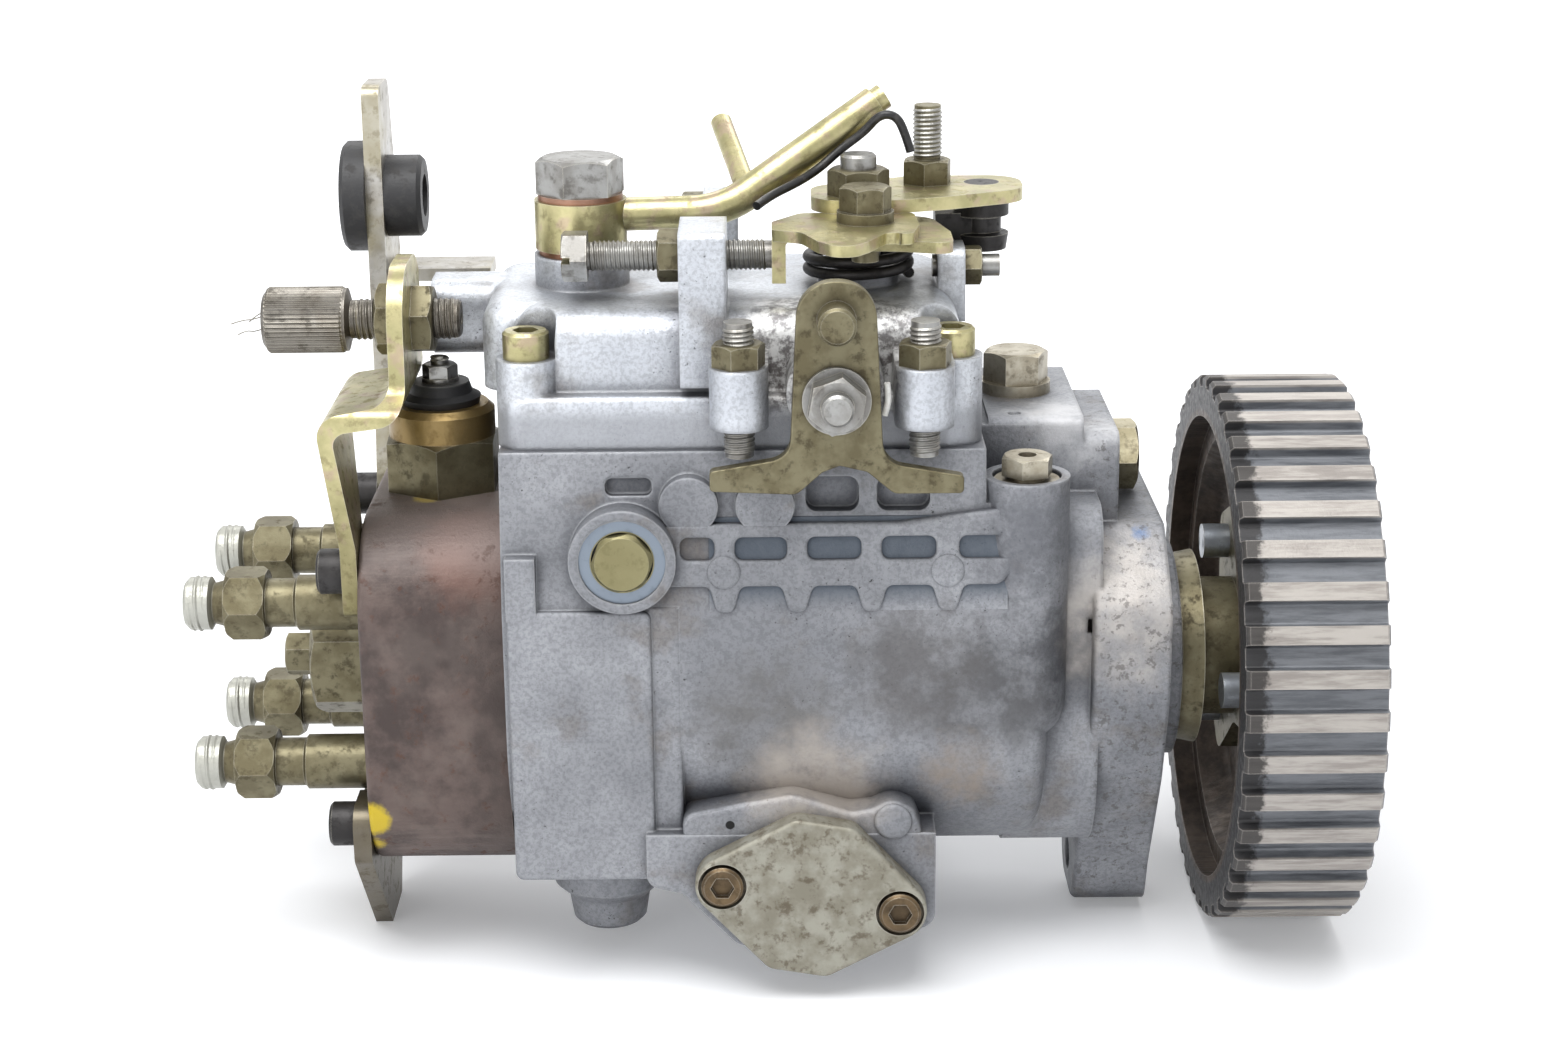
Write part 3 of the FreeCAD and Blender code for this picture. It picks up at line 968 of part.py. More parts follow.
def make_body_fittings():
    """Inlet bolt, regulating valve, plugs and the timing covers."""
    x, y, top = -g.inlet_back, g.inlet_side, g.top_block_height
    seat = top + g.inlet_collar
    head = hex_head("inlet_head_flats", g.inlet_flats, g.inlet_head, (x, y, seat), "Z", 8)
    shank = cylinder("inlet_shank", 6.0, seat - top + 17, (x, y, top - 17), "Z")
    inlet = fuse("inlet_banjo_bolt", head, shank)
    collar = cut("inlet_collar", cylinder("inlet_collar_blank", g.inlet_flats / 2 + 1.4, g.inlet_collar,
                                          (x, y, top), "Z"),
        cylinder("inlet_collar_bore", 6.0, g.inlet_collar, (x, y, top), "Z"))
    group("inlet_bolt", [inlet, collar])
    vx, vy, vz = -g.valve_back, -g.valve_side, g.valve_top - 2.2
    valve_head = hex_head("valve_head_flats", g.valve_flats, 4.2, (vx, vy, vz + 2.4), "Z", 15)
    valve_body = turned("valve_body", [
        (-30, 0), (-30, 3.9), (0, 3.9), (0, 7.0), (1.4, 7.0), (1.4, 3.9), (2.4, 3.9), (2.4, 0),
    ], (vx, vy, vz), "Z")
    cut("pressure_regulating_valve", fuse("valve_blank", valve_head, valve_body),
        cylinder("valve_centre_hole", 2.0, 4, (vx, vy, vz + 3.4), "Z"))
    px, py, pz = -g.top_block_front_back, g.front_plug_side, g.front_plug_height
    plug_head = hex_head("front_plug_flats_block", g.front_plug_flats, 5.5, (px + 1.4, py, pz), "X", 30)
    plug_washer = cylinder("front_plug_washer", g.front_plug_flats / 2 + 0.8, 1.4, (px, py, pz))
    fuse("front_plug", plug_head, plug_washer, cylinder("front_plug_shank", 4.0, 12, (px - 11, py, pz)))
    sx, sy, sz = -g.plug_boss_back, -g.plug_boss_face + 2.2, g.plug_boss_height
    ring = cut("side_washer", cylinder("side_washer_blank", g.plug_ring_radius, g.plug_ring_thick,
                                       (sx, sy, sz), "-Y"),
        cylinder("side_washer_bore", g.plug_disc_radius + g.thread_gap, 4, (sx, sy + 1, sz), "-Y"))
    disc = turned("side_disc", [
        (0, 0), (0, g.plug_disc_radius), (2.4, g.plug_disc_radius), (3.4, g.plug_disc_radius - 0.8), (3.4, 0),
    ], (sx, sy, sz), "-Y")
    plug = common("side_disc_plug", disc, hexagon("side_plug_flats", g.plug_disc_radius * 1.86, 3.4,
                                                  (sx, sy, sz), "-Y", 10))
    group("side_plug", [plug, ring])


def make_timing_covers():
    tilt = float(g.timing_cover_tilt)
    tip, half, flat = g.timing_cover_tip, g.timing_cover_half, g.timing_cover_flat
    outline = [(-tip, 0, 7), (-flat, half, 4), (flat, half, 4), (tip, 0, 7), (flat, -half, 4),
               (-flat, -half, 4)]
    pitch = g.timing_screw_pitch
    hole = g.timing_screw_radius + g.thread_gap
    holes = [(s * pitch, 0, hole) for s in (-1, 1)]
    covers = []
    for name, y in (("near", -g.timing_half), ("far", g.timing_half + g.timing_cover_thick)):
        at = (x_timing, y, -g.timing_drop)
        plate = pad("timing_plate_" + name, outline, g.timing_cover_thick, "XZ", at, -tilt, holes)
        soften(plate, 1.0, far_end(g.timing_cover_thick) if name == "near" else
               (lambda e: e.BoundBox.ZMax < 0.01 and e.BoundBox.DiagonalLength > 7.5))
        sinks = []
        for i, (x, z) in enumerate(timing_screw_places()):
            start = -g.timing_half - g.timing_cover_thick + 2 if name == "near" else \
                g.timing_half + g.timing_cover_thick - 2
            sinks.append(cylinder("timing_sink_%s_%d" % (name, i), g.timing_screw_head + 0.7, 6,
                                  (x, start, z),
                                  "-Y" if name == "near" else "Y"))
        covers.append(cut("timing_cover_" + name, plate, *sinks))
    group("timing_covers", covers)
    screws = []
    for i, (x, z) in enumerate(timing_screw_places()):
        for name, sign, axis in (("near", -1, "-Y"), ("far", 1, "Y")):
            seat = sign * (g.timing_half + g.timing_cover_thick - 2)
            screws.append(cap_screw("timing_screw_%s_%d" % (name, i), g.timing_screw_head, 2.8,
                                    g.timing_screw_radius, 14, (x, seat, z), axis, 4.5))
    group("timing_cover_screws", screws)


# Stop lever

def make_stop_lever():
    x, z, face = -g.stop_pivot_back, g.stop_pivot_height, -g.stop_plate_face
    eye, eye_radius = g.stop_eye_height, g.stop_eye_radius
    outline = [
        (-eye_radius, eye + eye_radius, eye_radius - 0.1), (eye_radius, eye + eye_radius, eye_radius - 0.1),
        (9.8, -13.6, 5), (26.6, -16.6, 1), (26.6, -20.4, 1), (12, -20.4, 3), (6.4, -15.6, 2), (0.6, -14.2, 1),
        (-3, -15.6, 2), (-8.4, -20.4, 3), (-26.6, -19.6, 1), (-26.6, -15.2, 1), (-9.8, -12.4, 5),
    ]
    plate = pad("stop_lever_plate", outline, g.stop_plate_thick, "XZ", (x, face, z), 0,
                [(0, 0, g.stop_shaft_radius - 0.6)])
    soften(plate, 0.4, far_end(g.stop_plate_thick))
    knob = turned("stop_pin", [(0, 0), (0, 4.0), (6.6, 4.0), (7.2, 3.4), (7.2, 0)],
                  (x, face - g.stop_plate_thick, z + eye), "-Y")
    fuse("stop_lever", plate, knob)
    outer = face - g.stop_plate_thick
    shaft_radius = g.stop_shaft_radius
    shaft = turned("stop_shaft_body", [
        (22, 0), (22, shaft_radius), (g.stop_plate_face, shaft_radius),
        (g.stop_plate_face, shaft_radius - 0.6),
        (g.stop_plate_face + 12, shaft_radius - 0.6), (g.stop_plate_face + 12.6, shaft_radius - 1.2),
        (g.stop_plate_face + 12.6, 0),
    ], (x, 0, z), "-Y")
    crank = box("stop_crank", (x - 3, -24, z - 12), (x + 3, -22, z + 3))
    shaft = fuse("stop_shaft_crank", shaft, crank)
    washer = cut("stop_washer_ring", cylinder("stop_washer_blank", 7.2, 1.2, (x, outer, z), "-Y"),
                 cylinder("stop_washer_bore", shaft_radius - 0.6, 1.2, (x, outer, z), "-Y"))
    stop_nut = nut("stop_nut_body", g.nut_flats + 1, 5.0, shaft_radius - 0.6, (x, outer - 1.2, z), "-Y", 20)
    group("stop_shaft", [shaft, washer, stop_nut])


# Throttle lever

def make_throttle():
    x, y = -g.throttle_back, -g.throttle_side
    low, sheet = g.throttle_plate_low, g.stop_sheet
    thick, radius = g.throttle_plate_thick, g.throttle_shaft_radius
    slot_z, lever_z = low + sheet, low + 2 * sheet
    seat, bore = lever_z + thick, radius - 1
    shaft = turned("throttle_shaft_body", [
        (60, 0), (60, radius), (low, radius), (low, bore), (seat + 8.6, bore), (seat + 9.2, bore - 0.6),
        (seat + 9.2, 0),
    ], (x, y, 0), "Z")
    fuse("throttle_shaft", shaft, cylinder("throttle_eccentric", 2.4, 5, (x - 5.6, y, 57.5), "Z"),
         cylinder("throttle_cheek", 8.6, 3, (x, y, 62.5), "Z"))
    bolt_u, bolt_v = 1, -15.5
    guide = pad("throttle_guide_plate", [
        (-12, -7, 6), (-8, -22, 5), (8, -24, 4), (19.5, -28, 3), (19.5, -15, 3), (16, 2, 6), (-8, 9, 7),
    ], sheet, "XY", (x, y, low), 0, [(0, 0, bore), (bolt_u, bolt_v, 3.0)])
    slot_plate = pad("slot_plate_flat", [
        (-13, -5.2, 3), (-19.3, -15, 2), (-19.3, -24, 1), (-13, -27, 3), (-9.6, -37, 3), (-4, -44.7, 4),
        (1, -37, 3), (6, -26, 2), (10, -32, 2), (12.5, -20, 3), (12, -5.2, 3),
    ], sheet, "XY", (x, y, slot_z), 0, [(bolt_u, bolt_v, 3.0)])
    tab = pad("slot_plate_tab", [
        (-19.3, -9.2), (-19.3, sheet, 2.4), (-13, sheet), (-13, 0), (-16.3, 0, 1.2), (-16.3, -9.2),
    ], 7, "XZ", (x, y - 17, slot_z))
    group("throttle_stop_plates", [fuse("throttle_slot_plate", slot_plate, tab), guide])
    stud_u = g.throttle_back - g.throttle_stud_back
    stud_v = g.throttle_stud_far + g.throttle_side
    hole_u, hole_v = g.throttle_reach, 14.5
    pad("throttle_lever", [
        (-10.5, -7, 7), (8, -7, 6), (20, -3, 8), (37.3, 5.5, 8), (37.3, 23, 8), (13, 23, 8), (-10.5, 11, 8),
    ], thick, "XY", (x, y, lever_z), 0, [(0, 0, bore), (stud_u, stud_v, 3.0), (hole_u, hole_v, 4.0)])
    bolt_x, bolt_y = x + bolt_u, y + bolt_v
    head = hex_head("throttle_bolt_flats", g.nut_flats, 5.4, (bolt_x, bolt_y, lever_z + 2.4), "Z", 10)
    shank = cylinder("throttle_bolt_shank", 3.0, 11, (bolt_x, bolt_y, lever_z - 8.6), "Z")
    washers = cylinder("throttle_bolt_washers", 6.2, 2.4, (bolt_x, bolt_y, lever_z), "Z")
    clamp = fuse("throttle_clamp_bolt", head, shank, washers)
    top_nut = nut("throttle_shaft_nut", 12.0, 6.0, bore, (x, y, seat), "Z", 5)
    stud_x, stud_y = x + stud_u, y + stud_v
    stud = cylinder("throttle_stud_rod", 3.0, g.throttle_stud_top - lever_z, (stud_x, stud_y, lever_z), "Z")
    collar = hex_head("throttle_stud_nut", g.nut_flats, 5.5, (stud_x, stud_y, seat), "Z", 20)
    group("throttle_fasteners", [clamp, top_nut, fuse("throttle_stud", stud, collar)])
    nipple_x, nipple_y = x + hole_u, y + hole_v
    swivel = turned("nipple_swivel", [
        (-12, 0), (-12, 5.8), (-8.4, 6.3), (-8, 4.6), (-4.6, 4.6), (-4.2, 6.3), (-0.2, 6.3), (-0.2, 4.0),
        (thick, 4.0), (thick, 0),
    ], (nipple_x, nipple_y, lever_z), "Z")
    block = box("nipple_block", (nipple_x - 10.6, nipple_y - 4, lever_z - 10.6),
                (nipple_x, nipple_y + 4, lever_z - 3.4))
    fuse("cable_nipple", swivel, block)
    polygon_coil("throttle_return_spring", g.throttle_spring_radius, g.throttle_wire,
                 g.throttle_wire * 6.4, 2,
                 (x, y, g.cover_top + 0.3), "Z", 24)


# Drive line

def gear(name, teeth, x, z, bore):
    """A spur gear of full width whose tooth gaps are plain trapezoids."""
    count = int(round(float(teeth)))
    pitch = g.gear_module * teeth / 2
    outer = pitch + g.gear_module * 0.9
    width = g.gear_width
    body = doc.addObject("PartDesign::Body", name)
    sketch = new_sketch(body, name + "_blank_outline")
    draw_circle(sketch, (0, 0), outer, "rim")
    draw_circle(sketch, (0, 0), bore, "bore")
    blank = body.newObject("PartDesign::Pad", name + "_blank")
    blank.Profile = sketch
    bind(blank, "Length", width)
    doc.recompute()
    gap = new_sketch(body, name + "_gap_outline")
    root, wide, narrow = pitch - g.gear_module * 1.2, g.gear_module * 1.36, g.gear_module * 0.62
    draw_outline(gap, [(root, -narrow), (outer + 1, -wide), (outer + 1, wide), (root, narrow)], "g")
    groove = body.newObject("PartDesign::Pocket", name + "_gap")
    groove.Profile = gap
    groove.Type = "ThroughAll"
    groove.Reversed = True
    doc.recompute()
    pattern = body.newObject("PartDesign::PolarPattern", name + "_teeth")
    pattern.Originals = [groove]
    pattern.Axis = (gap, ["N_Axis"])
    pattern.Angle = 360
    pattern.Occurrences = count
    body.Tip = pattern
    return put(body, (x, 0, z), FROM_Z["X"])


def make_drive():
    r = g.shaft_radius
    front = g.pulley_front
    shaft = turned("shaft_turned", [
        (-g.shaft_end_back, 0), (-g.shaft_end_back, r), (12, r), (30, 8.4), (30, 7.0), (front - 0.6, 7.0),
        (front, 6.4), (front, 0),
    ])
    jaws = [box("shaft_jaw_%d" % i, (-g.jaw_reach_back, -g.jaw_width / 2, min_z), (-g.shaft_end_back + 1,
                g.jaw_width / 2, max_z)) for i, (min_z, max_z) in enumerate((
                    (-g.shaft_radius + 1, -g.jaw_inner), (g.jaw_inner, g.shaft_radius - 1)))]
    fuse("drive_shaft", shaft, *jaws)
    seal = turned("shaft_seal", [
        (-g.seal_inner, r + 1.6), (-g.seal_inner, g.seal_radius), (g.seal_outer, g.seal_radius),
        (g.seal_outer, r + 2.4), (1, r + 2.4), (-1, r + g.shaft_gap), (-3, r + g.shaft_gap),
        (-4.5, r + 1.6),
    ])
    bush = turned("shaft_bush", [
        (-g.bush_back, r + g.shaft_gap), (-g.bush_back, g.bush_radius), (-g.seal_inner - 0.3, g.bush_radius),
        (-g.seal_inner - 0.3, r + g.shaft_gap),
    ])
    group("drive_shaft_seal_and_bush", [seal, bush])
    feed_length = g.feed_rear_back - g.feed_front_back - g.feed_plate_thick
    ring_x = -g.feed_front_back - feed_length
    ring = cylinder("feed_ring_blank", g.feed_bore - 0.05, feed_length, (ring_x, 0, 0))
    cut("feed_pump_ring", ring, cylinder("feed_ring_bore", g.feed_eccentric, feed_length,
                                         (ring_x, 0, g.feed_offset)))
    turned("feed_pump_plate", [
        (g.feed_rear_back, r + 1), (g.feed_rear_back, g.feed_bore - 0.05),
        (g.feed_rear_back - g.feed_plate_thick, g.feed_bore - 0.05),
        (g.feed_rear_back - g.feed_plate_thick, r + 1),
    ], axis="-X")
    side = g.feed_side_gap
    rotor = cylinder("feed_rotor_blank", g.feed_rotor, feed_length - 2 * side, (ring_x + side, 0, 0))
    slots, vanes = [], []
    length = feed_length - 2 * side
    for i in range(4):
        for store, name, foot, top, half in (
                (slots, "feed_slot_%d", g.vane_foot - 0.5, g.feed_rotor + 1, g.vane_thick / 2 + 0.05),
                (vanes, "feed_vane_%d", g.vane_foot, g.vane_stand, g.vane_thick / 2)):
            outline = [(-half, foot), (half, foot), (half, top), (-half, top)]
            store.append(pad(name % i, outline, length, "YZ", (ring_x + side, 0, 0), 90 * i + 20))
    slotted = cut("feed_rotor_slotted", rotor, cylinder("feed_rotor_bore", r, feed_length, (ring_x, 0, 0)),
                  *slots)
    group("feed_pump_rotor", [slotted] + vanes)
    gear("governor_drive_gear", g.drive_teeth, -g.gear_rear_back, 0, r)
    cam_face = -g.ring_rear_back - g.roller_stand - g.cam_gap
    cam_rear = cam_face - g.cam_thick
    cam_base = turned("cam_base", [
        (-cam_face + g.cam_lift, 0), (-cam_face + g.cam_lift, g.cam_radius), (-cam_rear, g.cam_radius),
        (-cam_rear, 0),
    ], axis="-X")
    lobes = [pad("cam_lobe_%d" % i, [
        (13, cam_face - g.cam_lift - 1), (13, cam_face, 1), (23, cam_face, 1),
        (23, cam_face - g.cam_lift - 1),
    ], 9, "XY", (0, 0, 0)) for i in range(4)]
    for i, lobe in enumerate(lobes):
        turn = Rotation(Vector(1, 0, 0), 90 * i) * Rotation(Vector(1, 1, 1), 240)
        lobe.Placement = Placement(turn.multVec(Vector(0, 0, -4.5)), turn)
    cam_jaws = [box("cam_jaw_%d" % i, (cam_face - g.cam_lift - 1, min_y, -g.jaw_width / 2),
                    (-g.shaft_end_back - 1, max_y, g.jaw_width / 2)) for i, (min_y, max_y) in enumerate((
                        (-g.shaft_radius + 1, -g.jaw_inner), (g.jaw_inner, g.shaft_radius - 1)))]
    fuse("cam_disc", cam_base, *lobes, *cam_jaws)
    cross_rear = -g.jaw_reach_back + 2
    cross = cylinder("cross_blank", g.shaft_radius - 0.2, 4, (cross_rear, 0, 0))
    gaps = [box("cross_gap_z", (cross_rear - 1, -g.jaw_width / 2, -20),
                (cross_rear + 5, g.jaw_width / 2, -g.jaw_inner)),
            box("cross_gap_z2", (cross_rear - 1, -g.jaw_width / 2, g.jaw_inner),
                (cross_rear + 5, g.jaw_width / 2, 20)),
            box("cross_gap_y", (cross_rear - 1, -20, -g.jaw_width / 2),
                (cross_rear + 5, -g.jaw_inner, g.jaw_width / 2)),
            box("cross_gap_y2", (cross_rear - 1, g.jaw_inner, -g.jaw_width / 2),
                (cross_rear + 5, 20, g.jaw_width / 2))]
    cut("coupling_cross", cross, *gaps)
    foot = g.plunger_foot_thick
    turned("plunger", [
        (-cam_rear, 0), (-cam_rear, g.plunger_foot), (-cam_rear + foot, g.plunger_foot),
        (-cam_rear + foot, g.plunger_radius), (g.plunger_end_back, g.plunger_radius), (g.plunger_end_back, 0),
    ], axis="-X")
    plate_front = -cam_rear + foot + 0.3
    turned("spring_plate", [
        (plate_front, g.plunger_radius + 0.4), (plate_front, g.plate_radius),
        (plate_front + g.plate_thick, g.plate_radius), (plate_front + g.plate_thick, g.plunger_radius + 0.4),
    ], axis="-X")
    spring_start = -(plate_front + g.plate_thick)
    spring_length = g.head_back - g.head_spigot - (plate_front + g.plate_thick)
    for i, s in enumerate((-1, 1)):
        polygon_coil("plunger_spring_%d" % i, g.plunger_spring_radius, g.plunger_wire, spring_length, 5,
                     (spring_start, s * g.plunger_spring_side, 0), "-X")
    turned("control_collar", [
        (g.collar_rear_back - g.collar_width, g.plunger_radius + 0.05),
        (g.collar_rear_back - g.collar_width, g.collar_radius),
        (g.collar_rear_back - g.collar_width + 2, g.collar_radius),
        (g.collar_rear_back - g.collar_width + 2, g.collar_groove),
        (g.collar_rear_back - 2, g.collar_groove), (g.collar_rear_back - 2, g.collar_radius),
        (g.collar_rear_back, g.collar_radius), (g.collar_rear_back, g.plunger_radius + 0.05),
    ], axis="-X")


def make_timing_device():
    """Roller ring, its pin and the piston that turns it."""
    front, rear = -g.ring_front_back, -g.ring_rear_back
    tilt = ring_rest_angle
    ring = turned("ring_turned", [
        (g.ring_front_back, g.ring_bore), (g.ring_front_back, g.ring_radius),
        (g.ring_rear_back, g.ring_radius),
        (g.ring_rear_back, g.ring_bore),
    ], axis="-X")
    roller_x = rear + g.roller_radius - g.roller_stand
    pockets, rollers = [], []
    for i in range(4):
        angle = math.radians(90 * i + 45 - tilt)
        along = Vector(0, math.cos(angle), math.sin(angle))
        turn = Rotation(Vector(0, 0, 1), along)
        start = g.roller_centre - g.roller_length / 2
        for store, name, radius, length, back in ((pockets, "roller_pocket_%d", g.roller_radius + 0.05,
                                                   g.roller_length + 0.4, 0.2),
                                                  (rollers, "roller_%d", g.roller_radius, g.roller_length,
                                                   0.0)):
            thing = doc.addObject("Part::Cylinder", name % i)
            bind(thing, "Radius", radius)
            bind(thing, "Height", length)
            reach = start - back
            store.append(put(thing, (roller_x, reach * along.y, reach * along.z), turn))
    swing = math.radians(-tilt)
    direction = Vector(0, math.sin(swing), -math.cos(swing))
    turn = Rotation(Vector(0, 0, 1), direction)
    root = g.ring_radius - 8
    pin = doc.addObject("Part::Cylinder", "roller_ring_pin")
    bind(pin, "Radius", g.ring_pin_radius)
    bind(pin, "Height", g.timing_drop + 4 - root)
    put(pin, (x_timing, root * direction.y, root * direction.z), turn)
    fuse("roller_ring", cut("ring_pocketed", ring, *pockets), pin)
    group("ring_rollers", rollers)
    near = pin_side - g.piston_length * 0.56
    blank = cylinder("piston_blank", g.timing_bore - g.piston_gap, g.piston_length,
                     (x_timing, near, -g.timing_drop), "Y")
    cut("timing_piston", blank,
        cylinder("piston_pin_hole", g.ring_pin_radius + 1.5, g.timing_bore * 2 - 6,
                 (x_timing, pin_side, -g.timing_drop + g.timing_bore), "-Z"),
        cylinder("piston_spring_bore", g.timing_bore - 2.6, 16,
                 (x_timing, near + g.piston_length - 15, -g.timing_drop), "Y"))
    spring_start = near + g.piston_length - 15 + g.piston_travel + 0.3
    spring = polygon_coil("timing_spring", g.timing_bore - 4.6, 1.2, g.timing_half - spring_start - 0.05, 4,
                          (x_timing, spring_start, -g.timing_drop), "Y")
    group("inner_springs", [doc.getObject("plunger_spring_0"), doc.getObject("plunger_spring_1"), spring])


def make_governor():
    height = g.governor_height
    shaft_r = g.governor_shaft_radius
    shaft = cylinder("governor_shaft", shaft_r, g.sleeve_nose_back - g.chamber_front_back + 6,
             (-g.sleeve_nose_back + 4, 0, height))
    wheel = gear("cage_gear", g.cage_teeth, -g.gear_rear_back, height, shaft_r + g.shaft_gap)
    cup = turned("cage_cup", [
        (g.gear_rear_back, shaft_r + g.shaft_gap), (g.gear_rear_back, g.cage_radius),
        (g.cage_rear_back, g.cage_radius),
        (g.cage_rear_back, g.cage_radius - 1.6), (g.gear_rear_back + 3, g.cage_radius - 1.6),
        (g.gear_rear_back + 3, shaft_r + g.shaft_gap),
    ], (0, 0, height), "-X")
    windows = [box("cage_window_%d" % i, low, high) for i, (low, high) in enumerate((
        ((-g.cage_rear_back + 4, -20, height - 4.5), (-g.gear_rear_back - 6, 20, height + 4.5)),
        ((-g.cage_rear_back + 4, -4.5, height - 20), (-g.gear_rear_back - 6, 4.5, height + 20))))]
    fuse("governor_cage", wheel, cut("cage_open", cup, *windows))
    weights = []
    for i in range(4):
        a = math.radians(90 * i)
        outline = [(-4, 6.6, 1), (4, 6.6, 1), (4, 14.2, 2), (-4, 14.2, 2)]
        weight = pad("flyweight_%d" % i, outline, 14, "YZ", (-g.cage_rear_back + 5, 0, height),
                     math.degrees(a))
        weights.append(weight)
    group("governor_flyweights", weights)
    nose, radius = g.sleeve_nose_back, g.sleeve_radius
    turned("governor_sleeve", [
        (g.cage_rear_back - 10, shaft_r + g.shaft_gap), (g.cage_rear_back - 10, radius), (nose - 4, radius),
        (nose, 1.4), (nose, 0), (nose - 3.4, 0), (nose - 3.4, shaft_r + g.shaft_gap),
    ], (0, 0, height), "-X")
    x_lever, thick = -g.lever_back, g.lever_thick
    plate = pad("lever_plate", [
        (-3, 13.4, 1), (3, 13.4, 1), (g.lever_half, 22, 3), (g.lever_half, 50, 6), (5, g.lever_top, 2),
        (-5, g.lever_top, 2), (-g.lever_half, 50, 6), (-g.lever_half, 22, 3),
    ], thick, "YZ", (x_lever - thick / 2, 0, 0))
    hub = cylinder("lever_hub", g.lever_pivot_radius + 2, g.lever_half * 2,
                   (x_lever, -g.lever_half, g.lever_pivot_height), "Y")
    ball_pin = cylinder("lever_pin", 1.2, 6, (x_lever, 0, 9), "Z")
    knob = ball("lever_ball", 1.7, (x_lever, 0, 9.2))
    cut("governor_lever", fuse("lever_blank", plate, hub, ball_pin, knob),
        cylinder("lever_bore", g.lever_pivot_radius + g.shaft_gap, 60, (x_lever, -30, g.lever_pivot_height),
                 "Y"))
    pivot = cylinder("lever_pivot_pin", g.lever_pivot_radius, g.chamber_half * 2 + 8,
                     (x_lever, -g.chamber_half - 4, g.lever_pivot_height), "Y")
    group("governor_pins", [shaft, pivot])
    start, length, level = x_lever + thick / 2, g.governor_spring_length, g.governor_spring_height
    coil = polygon_coil("governor_spring_coil", 3.5, 0.8, length, 5, (start, 0, level), "X")
    link = cylinder("governor_spring_link", 1.3, length + 7, (start, 0, level))
    cap = cylinder("governor_spring_cap", 4.4, 1.2, (start + length, 0, level))
    fuse("governor_spring", fuse("governor_spring_rod", link, cap), coil)


# Belt pulley and its hub

